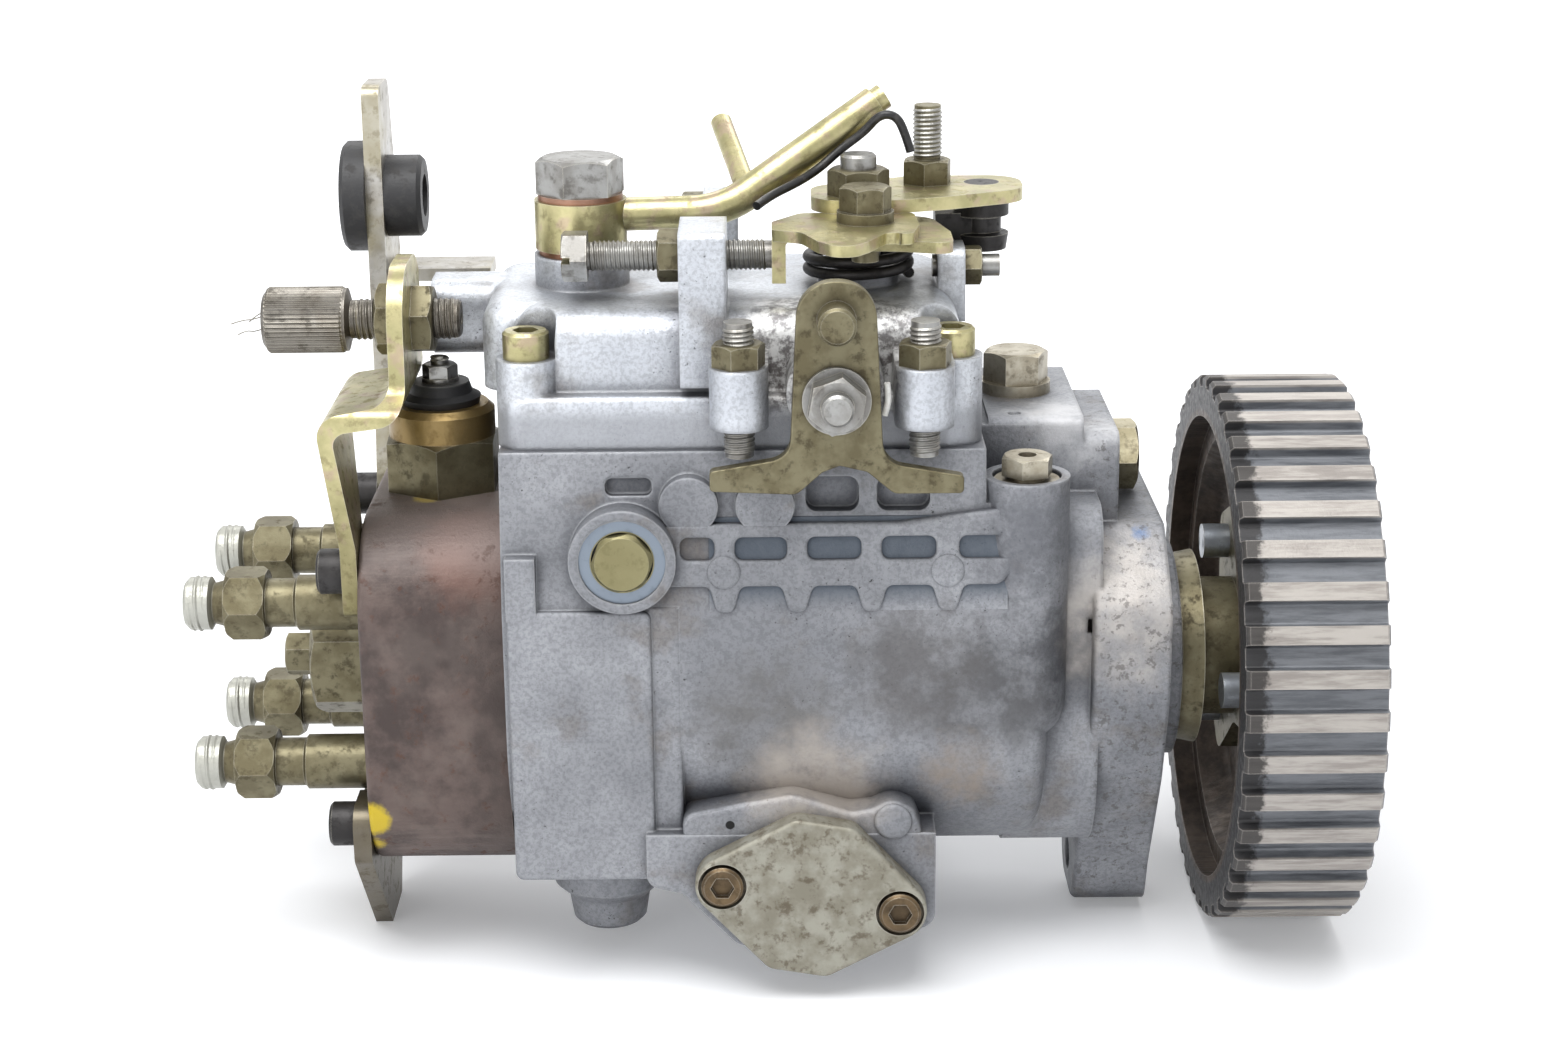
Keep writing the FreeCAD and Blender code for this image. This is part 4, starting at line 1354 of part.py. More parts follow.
def make_pulley():
    rear, front = g.pulley_rear, g.pulley_front
    body = doc.addObject("PartDesign::Body", "toothed_pulley")
    profile = new_sketch(body, "pulley_profile")
    web_front = g.web_rear + g.web_thick
    draw_outline(profile, [
        (rear, g.rim_inner), (rear, g.pulley_radius - 0.8), (rear + 0.8, g.pulley_radius),
        (front - 0.8, g.pulley_radius), (front, g.pulley_radius - 0.8), (front, g.rim_bore + 3),
        (front - 4, g.rim_bore), (web_front, g.rim_bore), (web_front, 9.5), (g.web_rear, 9.5),
        (g.web_rear, g.rim_bore - 3, 3), (rear + g.rim_lip_depth, g.rim_bore),
        (rear + g.rim_lip_depth, g.rim_inner),
    ], "p")
    blank = body.newObject("PartDesign::Revolution", "pulley_turn")
    blank.Profile = profile
    blank.ReferenceAxis = (profile, ["H_Axis"])
    blank.Angle = 360
    doc.recompute()
    gap = new_sketch(body, "pulley_gap_outline", "YZ_Plane")
    root = g.pulley_radius - g.groove_depth
    half_top, half_root = g.groove_top / 2, g.groove_root / 2
    draw_outline(gap, [(-half_root, root, 0.7), (-half_top, g.pulley_radius + 1),
                       (half_top, g.pulley_radius + 1),
                       (half_root, root, 0.7)], "g")
    groove = body.newObject("PartDesign::Pocket", "pulley_gap")
    groove.Profile = gap
    groove.Midplane = True
    groove.Type = "Length"
    bind(groove, "Length", front * 4)
    doc.recompute()
    pattern = body.newObject("PartDesign::PolarPattern", "pulley_teeth_ring")
    pattern.Originals = [groove]
    pattern.Axis = (gap, ["N_Axis"])
    pattern.Angle = 360
    pattern.Occurrences = int(round(float(g.pulley_teeth)))
    body.Tip = pattern
    body.Placement = Placement(Vector(), Rotation(Vector(1, 0, 0), 180 / float(g.pulley_teeth)))
    circle, bolt = g.hub_bolt_circle, g.hub_bolt_radius
    tools = []
    for i in range(3):
        a = math.radians(65 + 120 * i)
        tools.append(cylinder("pulley_bolt_hole_%d" % i, bolt, 8,
                              (g.web_rear - 1, circle * math.cos(a), circle * math.sin(a))))
    cut("belt_pulley", body, *tools)
    arms = []
    for i in range(3):
        a = 65 + 120 * i
        ang = math.radians(a)
        arms += [(g.hub_arm * math.cos(ang + 0.26), g.hub_arm * math.sin(ang + 0.26), 5),
                 (g.hub_radius * (1.12 * math.cos(ang + 1.047)),
                  g.hub_radius * (1.12 * math.sin(ang + 1.047)), 9),
                 (g.hub_arm * math.cos(ang + 1.834), g.hub_arm * math.sin(ang + 1.834), 5)]
    holes = [(circle * math.cos(math.radians(65 + 120 * i)), circle * math.sin(math.radians(65 + 120 * i)),
              bolt)
             for i in range(3)]
    arm_plate = pad("hub_arm_plate", arms, 5, "YZ", (g.web_rear - 5, 0, 0), 0, holes)
    rear = g.spigot_length + 0.6
    boss = turned("hub_boss", [(rear, 0), (rear, 21.5), (rear + 5, 22.5), (rear + 5.4, g.hub_radius),
                               (g.web_rear, g.hub_radius), (g.web_rear, 9.4), (g.web_rear + 5, 9.4),
                               (g.web_rear + 5, 0)])
    bore = turned("hub_taper", [(5, 0), (5, g.shaft_radius), (12, g.shaft_radius), (30, 8.4), (31, 8.4),
                                (31, 0)])
    cut("pulley_hub", fuse("hub_blank", arm_plate, boss), bore)
    bolts = []
    for i in range(3):
        a = math.radians(65 + 120 * i)
        y, z = circle * math.cos(a), circle * math.sin(a)
        head = hex_head("pulley_bolt_head_%d" % i, 13.0, 5.5, (web_front, y, z), "X")
        shank = cylinder("pulley_bolt_shank_%d" % i, bolt, 16, (web_front - 16, y, z))
        bolts.append(fuse("pulley_bolt_%d" % i, head, shank))
    washer = cut("shaft_washer", cylinder("shaft_washer_blank", 11.5, 2, (web_front, 0, 0)),
                 cylinder("shaft_washer_bore", 7.0, 2, (web_front, 0, 0)))
    shaft_nut = nut("shaft_nut_body", 22.0, 10.0, 7.0, (web_front + 2, 0, 0), "X")
    group("pulley_fasteners", bolts + [washer, shaft_nut])


# Loose wire beside the throttle lever

WIRE_RADIUS = 1.0
WIRE_ROUTE = [
    (-89.5, -14.0, 107.2), (-86.8, -9.0, 108.4), (-80.4, -4.5, 110.6),
    (-75.6, 0.0, 112.8), (-70.7, 1.4, 117.0), (-65.6, 1.5, 120.6),
    (-62.2, 0.0, 124.8), (-58.4, 0.0, 124.4), (-56.4, 0.0, 119.8),
    (-55.4, 0.0, 116.4),
]


def make_wire():
    points = [Vector(*p) for p in WIRE_ROUTE]
    edges, start = [], points[0]
    for i in range(1, len(points) - 1):
        here, after = points[i], points[i + 1]
        back, ahead = points[i - 1] - here, after - here
        shorter = min(back.Length, ahead.Length)
        back.normalize()
        ahead.normalize()
        half = back.getAngle(ahead) / 2
        turn = math.pi - 2 * half
        bend = 0.45 * shorter / math.tan(turn / 2)
        reach = bend / math.tan(half)
        first, last = here + back * reach, here + ahead * reach
        middle = here + (back + ahead).normalize() * (bend / math.sin(half) - bend)
        edges.append(Part.LineSegment(start, first).toShape())
        edges.append(Part.Arc(first, middle, last).toShape())
        start = last
        print("wire bend %d radius %.1f turn %.0f" % (i, bend, math.degrees(turn)))
    edges.append(Part.LineSegment(start, points[-1]).toShape())
    path = Part.Wire(edges)
    circle = Part.Wire(Part.Circle(points[0], points[1] - points[0], WIRE_RADIUS).toShape())
    wire = doc.addObject("Part::Feature", "signal_wire")
    wire.Shape = path.makePipeShell([circle], True, False)
    print("wire length %.1f volume %.1f expected %.1f" % (
        path.Length, wire.Shape.Volume, path.Length * math.pi * WIRE_RADIUS ** 2))


make_housing()
make_cover()
make_head()
make_head_fittings()
make_solenoid()
make_support_bracket()
make_cable_bracket()
make_overflow()
make_cover_fittings()
make_body_fittings()
make_timing_covers()
make_stop_lever()
make_throttle()
make_drive()
make_timing_device()
make_governor()
make_pulley()
make_wire()

NODES = [
    "pump_housing", "governor_cover", "cover_screws", "distributor_head", "head_screws", "distributor_barrel",
    "delivery_valve_holders", "delivery_valves", "centre_plug",
    "stop_solenoid_case", "solenoid_terminal", "solenoid_armature",
    "support_bracket", "support_grommet", "cable_bracket", "cable_adjuster", "cable_adjuster_nuts",
    "overflow_pipe", "overflow_bolt", "adjusting_screws", "adjusting_nuts",
    "inlet_bolt", "pressure_regulating_valve", "front_plug", "side_plug", "timing_covers",
    "timing_cover_screws", "stop_lever", "stop_shaft",
    "throttle_shaft", "throttle_lever", "throttle_stop_plates", "throttle_fasteners", "cable_nipple",
    "throttle_return_spring", "signal_wire",
    "drive_shaft", "drive_shaft_seal_and_bush", "feed_pump_ring", "feed_pump_plate", "feed_pump_rotor",
    "governor_drive_gear", "cam_disc", "coupling_cross", "plunger", "spring_plate", "inner_springs",
    "control_collar", "roller_ring", "ring_rollers", "timing_piston",
    "governor_pins", "governor_cage", "governor_flyweights", "governor_sleeve", "governor_lever",
    "governor_spring", "belt_pulley", "pulley_hub", "pulley_fasteners",
]


def write_parts():
    doc.recompute()
    broken = [item.Name for item in doc.Objects if "Invalid" in item.State or "Error" in item.State]
    if broken:
        raise RuntimeError("objects that failed: " + ", ".join(broken))
    os.makedirs("parts", exist_ok=True)
    for name in NODES:
        item = doc.getObject(name)
        item.Label = name
        shape = item.Shape
        if shape.isNull() or not shape.isValid() or shape.Volume < 1:
            raise RuntimeError("bad shape: " + name)
        shape.exportStep("parts/%s.step" % name)
        low = shape.BoundBox
        print("%-28s solids %d volume %9.1f  X %.1f..%.1f Y %.1f..%.1f Z %.1f..%.1f" % (
            name, len(shape.Solids), shape.Volume, low.XMin, low.XMax, low.YMin, low.YMax, low.ZMin,
            low.ZMax))


write_parts()
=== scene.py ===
"""Looks of a used rotary diesel injection pump on a white studio floor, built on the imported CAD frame.

Lengths are in metres in the row frame: +X runs along the shaft to the pulley, +Z is up, -Y faces the camera.
"""

import json
import math

import bpy
from mathutils import Matrix, Vector
from mathutils.geometry import delaunay_2d_cdt

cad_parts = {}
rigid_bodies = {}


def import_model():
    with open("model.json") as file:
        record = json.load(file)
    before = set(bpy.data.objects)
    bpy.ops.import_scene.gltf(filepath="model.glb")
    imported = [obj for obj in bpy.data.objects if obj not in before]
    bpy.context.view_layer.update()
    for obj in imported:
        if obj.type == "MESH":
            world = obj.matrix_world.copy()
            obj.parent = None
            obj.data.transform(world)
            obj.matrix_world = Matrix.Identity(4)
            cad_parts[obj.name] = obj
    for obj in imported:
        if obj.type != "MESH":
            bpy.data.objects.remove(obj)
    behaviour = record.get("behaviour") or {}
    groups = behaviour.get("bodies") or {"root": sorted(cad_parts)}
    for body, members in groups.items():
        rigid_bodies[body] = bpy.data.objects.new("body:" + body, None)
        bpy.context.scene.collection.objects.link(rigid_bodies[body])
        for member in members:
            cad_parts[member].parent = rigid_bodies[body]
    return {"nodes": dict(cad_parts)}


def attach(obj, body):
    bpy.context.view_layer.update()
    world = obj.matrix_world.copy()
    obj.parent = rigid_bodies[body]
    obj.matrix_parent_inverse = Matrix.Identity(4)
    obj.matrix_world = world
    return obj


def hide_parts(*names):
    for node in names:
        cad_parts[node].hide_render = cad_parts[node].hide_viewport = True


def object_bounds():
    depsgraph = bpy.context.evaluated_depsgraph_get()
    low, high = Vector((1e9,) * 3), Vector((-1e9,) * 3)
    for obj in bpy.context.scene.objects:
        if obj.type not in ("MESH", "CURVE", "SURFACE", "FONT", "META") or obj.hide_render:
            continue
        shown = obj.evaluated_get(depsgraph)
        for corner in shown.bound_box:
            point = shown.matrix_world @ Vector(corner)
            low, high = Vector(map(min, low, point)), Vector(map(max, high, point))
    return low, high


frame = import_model()
cad_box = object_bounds()
nodes = frame["nodes"]
MM = 0.001

# Camera of the photograph
CAMERA_PLACE = Vector((-0.0872, -0.6053, 0.2190))
CAMERA_PITCH, CAMERA_YAW, CAMERA_ROLL = (math.radians(a) for a in (17.18, 0.16, -0.51))
PICTURE_WIDTH = 1555
FOCAL_PIXELS = 2755
SENSOR_WIDTH = 36.0


def make_camera():
    pitch, yaw, roll = CAMERA_PITCH, CAMERA_YAW, CAMERA_ROLL
    ahead = Vector((math.sin(yaw) * math.cos(pitch), math.cos(yaw) * math.cos(pitch), -math.sin(pitch)))
    level = Vector((math.cos(yaw), -math.sin(yaw), 0))
    rise = level.cross(ahead)
    right = level * math.cos(roll) + rise * math.sin(roll)
    up = rise * math.cos(roll) - level * math.sin(roll)
    data = bpy.data.cameras.new("camera")
    data.sensor_width = SENSOR_WIDTH
    data.lens = SENSOR_WIDTH * FOCAL_PIXELS / PICTURE_WIDTH
    data.clip_start, data.clip_end = 0.02, 30
    camera = bpy.data.objects.new("camera", data)
    bpy.context.scene.collection.objects.link(camera)
    turn = Matrix((right, up, -ahead)).transposed()
    camera.matrix_world = Matrix.Translation(CAMERA_PLACE) @ turn.to_4x4()
    bpy.context.scene.camera = camera


# Materials

class Paint:
    """One material whose nodes are added from left to right."""

    def __init__(self, name, metal=0.0, rough=0.5):
        self.material = bpy.data.materials.new(name)
        self.material.use_nodes = True
        self.tree = self.material.node_tree
        self.shader = self.tree.nodes["Principled BSDF"]
        self.shader.inputs["Metallic"].default_value = metal
        self.shader.inputs["Roughness"].default_value = rough
        self.place = self.add("ShaderNodeTexCoord").outputs["Object"]

    def add(self, kind, **settings):
        node = self.tree.nodes.new(kind)
        for key, value in settings.items():
            setattr(node, key, value)
        return node

    def feed(self, socket, value):
        """Link an output to a socket, or set a plain value on it."""
        if isinstance(value, bpy.types.NodeSocket):
            self.tree.links.new(value, socket)
        elif isinstance(value, tuple) and socket.type == "RGBA":
            socket.default_value = (*value, 1)
        else:
            socket.default_value = value

    def sum(self, operation, first, second=0.0):
        """A sum on two values, held between 0 and 1."""
        node = self.add("ShaderNodeMath", operation=operation, use_clamp=True)
        self.feed(node.inputs[0], first)
        self.feed(node.inputs[1], second)
        return node.outputs[0]

    def noise(self, size, detail=3.0, rough=0.55, stretch=(1, 1, 1), shift=0.0):
        """Soft noise with features of about that size."""
        moved = self.add("ShaderNodeMapping")
        self.feed(moved.inputs["Vector"], self.place)
        moved.inputs["Scale"].default_value = [1 / s for s in stretch]
        moved.inputs["Location"].default_value = (shift, shift * 0.7, shift * 1.3)
        node = self.add("ShaderNodeTexNoise")
        self.feed(node.inputs["Vector"], moved.outputs[0])
        node.inputs["Scale"].default_value = 1 / size
        node.inputs["Detail"].default_value = detail
        node.inputs["Roughness"].default_value = rough
        return node.outputs[0]

    def ramp(self, value, low, high, to_low=0.0, to_high=1.0):
        """Value between low and high, eased to run from to_low to to_high."""
        node = self.add("ShaderNodeMapRange", interpolation_type="SMOOTHSTEP")
        for socket, amount in zip(node.inputs, (value, low, high, to_low, to_high)):
            self.feed(socket, amount)
        return node.outputs[0]

    def mix(self, share, first, second):
        node = self.add("ShaderNodeMix", data_type="RGBA")
        self.feed(node.inputs["Factor"], share)
        self.feed(node.inputs[6], first)
        self.feed(node.inputs[7], second)
        return node.outputs[2]

    def over(self, colour, tone, mask, share=None):
        """Colour with tone laid over it where mask is 1, at that share."""
        if share is not None:
            mask = self.sum("MULTIPLY", mask, share)
        return self.mix(mask, colour, tone)

    def along(self, axis):
        """The place along an axis, in metres."""
        node = self.add("ShaderNodeSeparateXYZ")
        self.feed(node.inputs[0], self.place)
        return node.outputs["XYZ".index(axis)]

    def band(self, axis, low, high, soft=0.0006):
        """1 between two heights on an axis and 0 outside."""
        value = self.along(axis)
        above = self.ramp(value, low - soft, low + soft)
        below = self.ramp(value, high - soft, high + soft, 1, 0)
        return self.sum("MULTIPLY", above, below)

    def near(self, point, reach, soft):
        """1 round a point and 0 beyond reach, with a ragged rim."""
        node = self.add("ShaderNodeVectorMath", operation="DISTANCE")
        self.feed(node.inputs[0], self.place)
        node.inputs[1].default_value = point
        distance = node.outputs["Value"]
        ragged = self.add("ShaderNodeMath", operation="MULTIPLY_ADD")
        self.feed(ragged.inputs[0], self.noise(reach * 0.4, 3, 0.6))
        ragged.inputs[1].default_value = soft
        self.feed(ragged.inputs[2], distance)
        return self.ramp(ragged.outputs[0], reach, reach + soft, 1, 0)

    def off_axis(self, at, axis="X"):
        """Distance from a line through a point along an axis."""
        node = self.add("ShaderNodeVectorMath", operation="SUBTRACT")
        self.feed(node.inputs[0], self.place)
        node.inputs[1].default_value = at
        flat = self.add("ShaderNodeVectorMath", operation="MULTIPLY")
        self.feed(flat.inputs[0], node.outputs[0])
        flat.inputs[1].default_value = [0 if a == axis else 1 for a in "XYZ"]
        length = self.add("ShaderNodeVectorMath", operation="LENGTH")
        self.feed(length.inputs[0], flat.outputs[0])
        return length.outputs["Value"]

    def crevice_shade(self, reach=0.006):
        """1 in corners and pockets, 0 on open faces: a mask for painted shade in hollows."""
        node = self.add("ShaderNodeAmbientOcclusion", samples=6)
        node.inputs["Distance"].default_value = reach
        return self.ramp(node.outputs["AO"], 0.35, 0.95, 1, 0)

    def edge(self, width=0.0007):
        """1 on sharp outer edges, where handling has rubbed the finish and where a painted highlight stands
        in for light caught by rounded edges.
        """
        round_off = self.add("ShaderNodeBevel", samples=4)
        round_off.inputs["Radius"].default_value = width
        plain = self.add("ShaderNodeNewGeometry")
        dot = self.add("ShaderNodeVectorMath", operation="DOT_PRODUCT")
        self.feed(dot.inputs[0], round_off.outputs[0])
        self.feed(dot.inputs[1], plain.outputs["Normal"])
        return self.ramp(dot.outputs["Value"], 0.80, 0.99, 1, 0)

    def bump(self, *layers, rounding=0.0):
        """Bump from (height, depth in metres) pairs, over corners that look rounded by that radius."""
        normal = None
        if rounding:
            soft = self.add("ShaderNodeBevel", samples=4)
            soft.inputs["Radius"].default_value = rounding
            normal = soft.outputs[0]
        for height, depth in layers:
            node = self.add("ShaderNodeBump")
            node.inputs["Distance"].default_value = depth
            self.feed(node.inputs["Height"], height)
            if normal is not None:
                self.feed(node.inputs["Normal"], normal)
            normal = node.outputs[0]
        self.feed(self.shader.inputs["Normal"], normal)

    def done(self, colour, rough=None, metal=None):
        self.feed(self.shader.inputs["Base Color"], colour)
        if rough is not None:
            self.feed(self.shader.inputs["Roughness"], rough)
        if metal is not None:
            self.feed(self.shader.inputs["Metallic"], metal)
        return self.material


def shade(red, green, blue):
    """A colour given as 0-255 screen values, in linear light."""
    shares = [value / 255 for value in (red, green, blue)]
    return tuple(s / 12.92 if s <= 0.04 else ((s + 0.055) / 1.055) ** 2.4 for s in shares)


CAST_LIGHT, CAST_MID, CAST_DARK = shade(160, 162, 167), shade(132, 134, 139), shade(62, 64, 70)
STAIN, SPECK = shade(104, 92, 78), shade(40, 38, 38)


def cast_metal(name, light, mid, dark, metal, rough, rounding):
    """Cast aluminium with an uneven tone, painted shade in pockets, brown stains, clustered specks and rubbed
    edges that also carry a painted highlight.
    """
    paint = Paint(name, metal=metal)
    tone = paint.ramp(paint.noise(0.030, 4), 0.35, 0.65)
    colour = paint.mix(tone, mid, light)
    mottle = paint.ramp(paint.noise(0.0028, 4, 0.7, shift=3), 0.40, 0.64)
    colour = paint.over(colour, mid, mottle, 0.35)
    # Painted shade: darker in corners and pockets, where less light reaches
    pocket_shade = paint.crevice_shade(0.009)
    colour = paint.over(colour, dark, pocket_shade, 0.85)
    stain = paint.ramp(paint.noise(0.018, 5, 0.62, shift=9), 0.54, 0.70)
    colour = paint.over(colour, STAIN, stain, 0.45)
    cluster = paint.ramp(paint.noise(0.014, 3, 0.6, shift=11), 0.46, 0.62)
    grain = paint.ramp(paint.noise(0.0010, 3, 0.75, shift=13), 0.44, 0.60)
    colour = paint.over(colour, dark, grain, 0.26)
    speck = paint.ramp(paint.noise(0.0008, 3, 0.7, shift=5), 0.63, 0.70)
    colour = paint.over(colour, SPECK, speck, cluster)
    # Rubbed edges, lightened also as a painted highlight
    worn_and_lit = paint.edge(0.0009)
    colour = paint.over(colour, shade(206, 208, 212), worn_and_lit, 0.5)
    patchy = paint.ramp(paint.noise(0.006, 3, shift=4), 0.3, 0.7, rough - 0.08, rough + 0.1)
    paint.bump((paint.noise(0.0006, 4, 0.7), 0.00012), (paint.noise(0.0035, 3, 0.5, shift=2), 0.00018),
               rounding=rounding)
    return paint, colour, patchy


# Wide soft patches on the housing, each with its middle, reach and colour
HOUSING_PATCHES = [
    ((-0.030, -0.040, 0.014), 0.015, shade(52, 52, 56)),
    ((-0.033, -0.044, 0.040), 0.012, shade(90, 92, 98)),
    ((-0.040, -0.044, 0.004), 0.012, shade(84, 84, 86)),
    ((-0.056, -0.044, 0.012), 0.014, shade(92, 90, 90)),
    ((-0.088, -0.045, 0.000), 0.014, shade(100, 98, 96)),
    ((-0.078, -0.043, -0.017), 0.014, shade(184, 176, 168)),
    ((-0.046, -0.040, -0.012), 0.009, shade(150, 138, 126)),
    ((-0.010, -0.030, 0.020), 0.016, shade(196, 190, 184)),
    ((-0.018, -0.020, 0.066), 0.014, shade(206, 206, 208)),
]
# A blue paint mark on the flange, and the small hole drilled in the timing block, drawn as a dark disc of
# painted shade
PAINT_MARK = (-0.0055, -0.024, 0.0335)
DRILLED_PLACE, DRILLED_RADIUS = (-0.0966, 0, -0.0227), 0.0010


def pocket_material():
    """The housing's metal on the rib pockets' floor, darkened by painted shade that fades out towards the
    barrel below.
    """
    paint, colour, rough = cast_metal("cast_pocket", CAST_LIGHT, CAST_MID, CAST_DARK, 0.4, 0.5, 0.0006)
    # Painted shade on the pocket floors, strongest at the top and fading downwards
    dirt_and_shade = paint.ramp(paint.along("Z"), 0.0250, 0.0315, 0, 0.82)
    return paint.done(paint.mix(dirt_and_shade, colour, shade(74, 84, 96)), rough)


def housing_material():
    paint, colour, rough = cast_metal("cast_housing", CAST_LIGHT, CAST_MID, CAST_DARK, 0.4, 0.5, 0.0013)
    cloud = paint.ramp(paint.noise(0.010, 5, 0.7, shift=15), 0.36, 0.60, 0.45, 1)
    for point, reach, tone in HOUSING_PATCHES:
        spot = paint.sum("MULTIPLY", paint.near(point, reach, reach * 0.9), 0.75)
        colour = paint.over(colour, tone, spot, cloud)
    mark = paint.sum("MULTIPLY", paint.near(PAINT_MARK, 0.0030, 0.0015), 0.7)
    colour = paint.over(colour, shade(84, 116, 160), mark)
    flange = paint.ramp(paint.along("X"), -0.019, -0.014)
    pit = paint.ramp(paint.noise(0.0022, 4, 0.75, shift=7), 0.55, 0.63)
    colour = paint.over(colour, shade(84, 80, 78), paint.sum("MULTIPLY", pit, flange), 0.6)
    # Painted shade: the drilled hole is a dark disc on the face, not a real hole
    drilled = paint.off_axis(DRILLED_PLACE, "Y")
    face = paint.ramp(paint.along("Y"), -0.0495, -0.0490, 1, 0)
    painted_hole_shade = paint.ramp(drilled, DRILLED_RADIUS - 0.0001, DRILLED_RADIUS + 0.0001, 1, 0)
    hole = paint.sum("MULTIPLY", painted_hole_shade, face)
    return paint.done(paint.mix(hole, colour, shade(20, 20, 20)), rough)


def cover_material():
    paint, colour, rough = cast_metal("cast_cover", shade(214, 218, 224), shade(192, 196, 203),
                                      shade(90, 90, 94), 0.55, 0.36, 0.0013)
    patch = paint.near((-0.0735, -0.036, 0.083), 0.020, 0.008)
    blotch = paint.ramp(paint.noise(0.0030, 5, 0.75, shift=6), 0.42, 0.60)
    dirt_and_shade = paint.mix(blotch, shade(230, 229, 226), shade(92, 84, 78))
    colour = paint.over(colour, dirt_and_shade, patch, 0.7)
    foot = paint.ramp(paint.along("Z"), 0.0655, 0.0700, 0.75, 0)
    return paint.done(paint.mix(foot, colour, shade(146, 148, 153)), rough)


# Dabs of paint left on the head, each with its middle and reach
YELLOW_PAINT = [((-0.1640, -0.0115, 0.0410), 0.0032), ((-0.1765, -0.0400, -0.0250), 0.0042),
                ((-0.1765, -0.0385, -0.0335), 0.0030)]


def rust_material():
    paint = Paint("rusted_head", metal=0.25, rough=0.6)
    tone = paint.ramp(paint.noise(0.012, 5, 0.65), 0.38, 0.64)
    colour = paint.mix(tone, shade(66, 55, 52), shade(98, 84, 79))
    rust = paint.ramp(paint.noise(0.0042, 5, 0.7, shift=2), 0.55, 0.68)
    colour = paint.over(colour, shade(112, 76, 60), rust, 0.35)
    mill = paint.ramp(paint.noise(0.0011, 3, 0.6, (12, 1, 12), 3), 0.45, 0.7)
    colour = paint.over(colour, shade(150, 138, 130), mill, 0.16)
    # Rubbed edges, lightened also as a painted highlight
    worn_and_lit = paint.edge(0.0006)
    colour = paint.over(colour, shade(150, 138, 130), worn_and_lit, 0.5)
    red = paint.sum("MULTIPLY", paint.near((-0.151, -0.032, 0.035), 0.012, 0.010), 0.5)
    colour = paint.over(colour, shade(116, 76, 62), red)
    for point, reach in YELLOW_PAINT:
        colour = paint.over(colour, shade(204, 178, 44), paint.near(point, reach, 0.002))
    colour = paint.over(colour, shade(62, 52, 48), paint.ramp(paint.along("X"), -0.158, -0.146, 0, 0.45))
    colour = paint.over(colour, shade(150, 138, 134), paint.ramp(paint.along("Z"), 0.028, 0.040, 0, 0.45))
    paint.bump((paint.noise(0.0009, 4, 0.7), 0.00015), (rust, 0.00008))
    return paint.done(colour, paint.ramp(rust, 0, 1, 0.5, 0.8))


def plated(name, light, other, dark, rough=0.32, metal=0.85, stain=0.35, tint=None):
    """Plated steel with a drifting tint, dull patches, painted shade in crevices and rubbed edges that also
    carry a painted highlight.
    """
    paint = Paint(name, metal=metal, rough=rough)
    drift = paint.ramp(paint.noise(0.007, 4, 0.6), 0.36, 0.64)
    colour = paint.mix(drift, light, other)
    if tint:
        sheen = paint.ramp(paint.noise(0.0045, 3, 0.5, shift=8), 0.52, 0.66)
        colour = paint.over(colour, tint, sheen, 0.5)
    dull = paint.ramp(paint.noise(0.0032, 5, 0.7, shift=4), 0.50, 0.66)
    colour = paint.over(colour, dark, dull, stain)
    # Painted shade in crevices
    colour = paint.over(colour, dark, paint.crevice_shade(0.003), 0.6)
    # Rubbed edges, lightened also as a painted highlight
    colour = paint.over(colour, shade(214, 210, 196), paint.edge(0.0004), 0.45)
    paint.bump((paint.noise(0.0005, 3, 0.7), 0.00004))
    return paint, colour, paint.ramp(dull, 0, 1, rough, rough + 0.22)


def plain_plated(*facts, **more):
    paint, colour, rough = plated(*facts, **more)
    return paint.done(colour, rough)


def rubber_material():
    paint = Paint("black_rubber", rough=0.62)
    dust = paint.ramp(paint.noise(0.003, 4, 0.7), 0.5, 0.7)
    colour = paint.mix(paint.sum("MULTIPLY", dust, 0.35), shade(38, 38, 40), shade(92, 90, 88))
    paint.bump((paint.noise(0.0007, 3, 0.7), 0.00006))
    return paint.done(colour, paint.ramp(dust, 0, 1, 0.5, 0.8))


def pulley_material():
    """Sintered steel: taupe lands, blue-grey grooves, oily rear ends of the teeth, brown inside."""
    paint = Paint("sintered_pulley", metal=0.45, rough=0.5)
    radius = paint.off_axis((0, 0, 0))
    inside = paint.ramp(radius, 0.0545, 0.0555, 1, 0)
    land = paint.ramp(radius, 0.0622, 0.0627)
    streak = paint.noise(0.0016, 4, 0.65, (9, 1, 1))
    groove = paint.mix(paint.ramp(streak, 0.35, 0.65), shade(98, 101, 106), shade(128, 131, 136))
    top = paint.mix(paint.ramp(streak, 0.35, 0.65), shade(146, 140, 135), shade(180, 175, 169))
    colour = paint.mix(land, groove, top)
    waver = paint.ramp(paint.noise(0.004, 4, 0.7, shift=3), 0, 1, -0.003, 0.003)
    oil = paint.ramp(paint.sum("ADD", paint.along("X"), waver), 0.0165, 0.0185, 1, 0)
    colour = paint.over(colour, shade(40, 38, 38), oil, 0.88)
    rusty = paint.ramp(paint.noise(0.006, 5, 0.7, shift=5), 0.35, 0.65)
    brown = paint.mix(rusty, shade(60, 51, 45), shade(92, 80, 70))
    colour = paint.over(colour, brown, inside)
    # Rubbed edges, lightened also as a painted highlight
    colour = paint.over(colour, shade(196, 190, 184), paint.edge(0.0005), 0.5)
    paint.bump((paint.noise(0.0008, 4, 0.7), 0.00008))
    return paint.done(colour, paint.ramp(streak, 0.3, 0.7, 0.38, 0.6))


def wire_material():
    paint = Paint("wire_insulation", rough=0.45)
    dust = paint.ramp(paint.noise(0.002, 4, 0.7), 0.5, 0.7)
    colour = paint.mix(dust, shade(24, 24, 26), shade(58, 56, 54))
    return paint.done(colour, paint.ramp(dust, 0, 1, 0.35, 0.6))


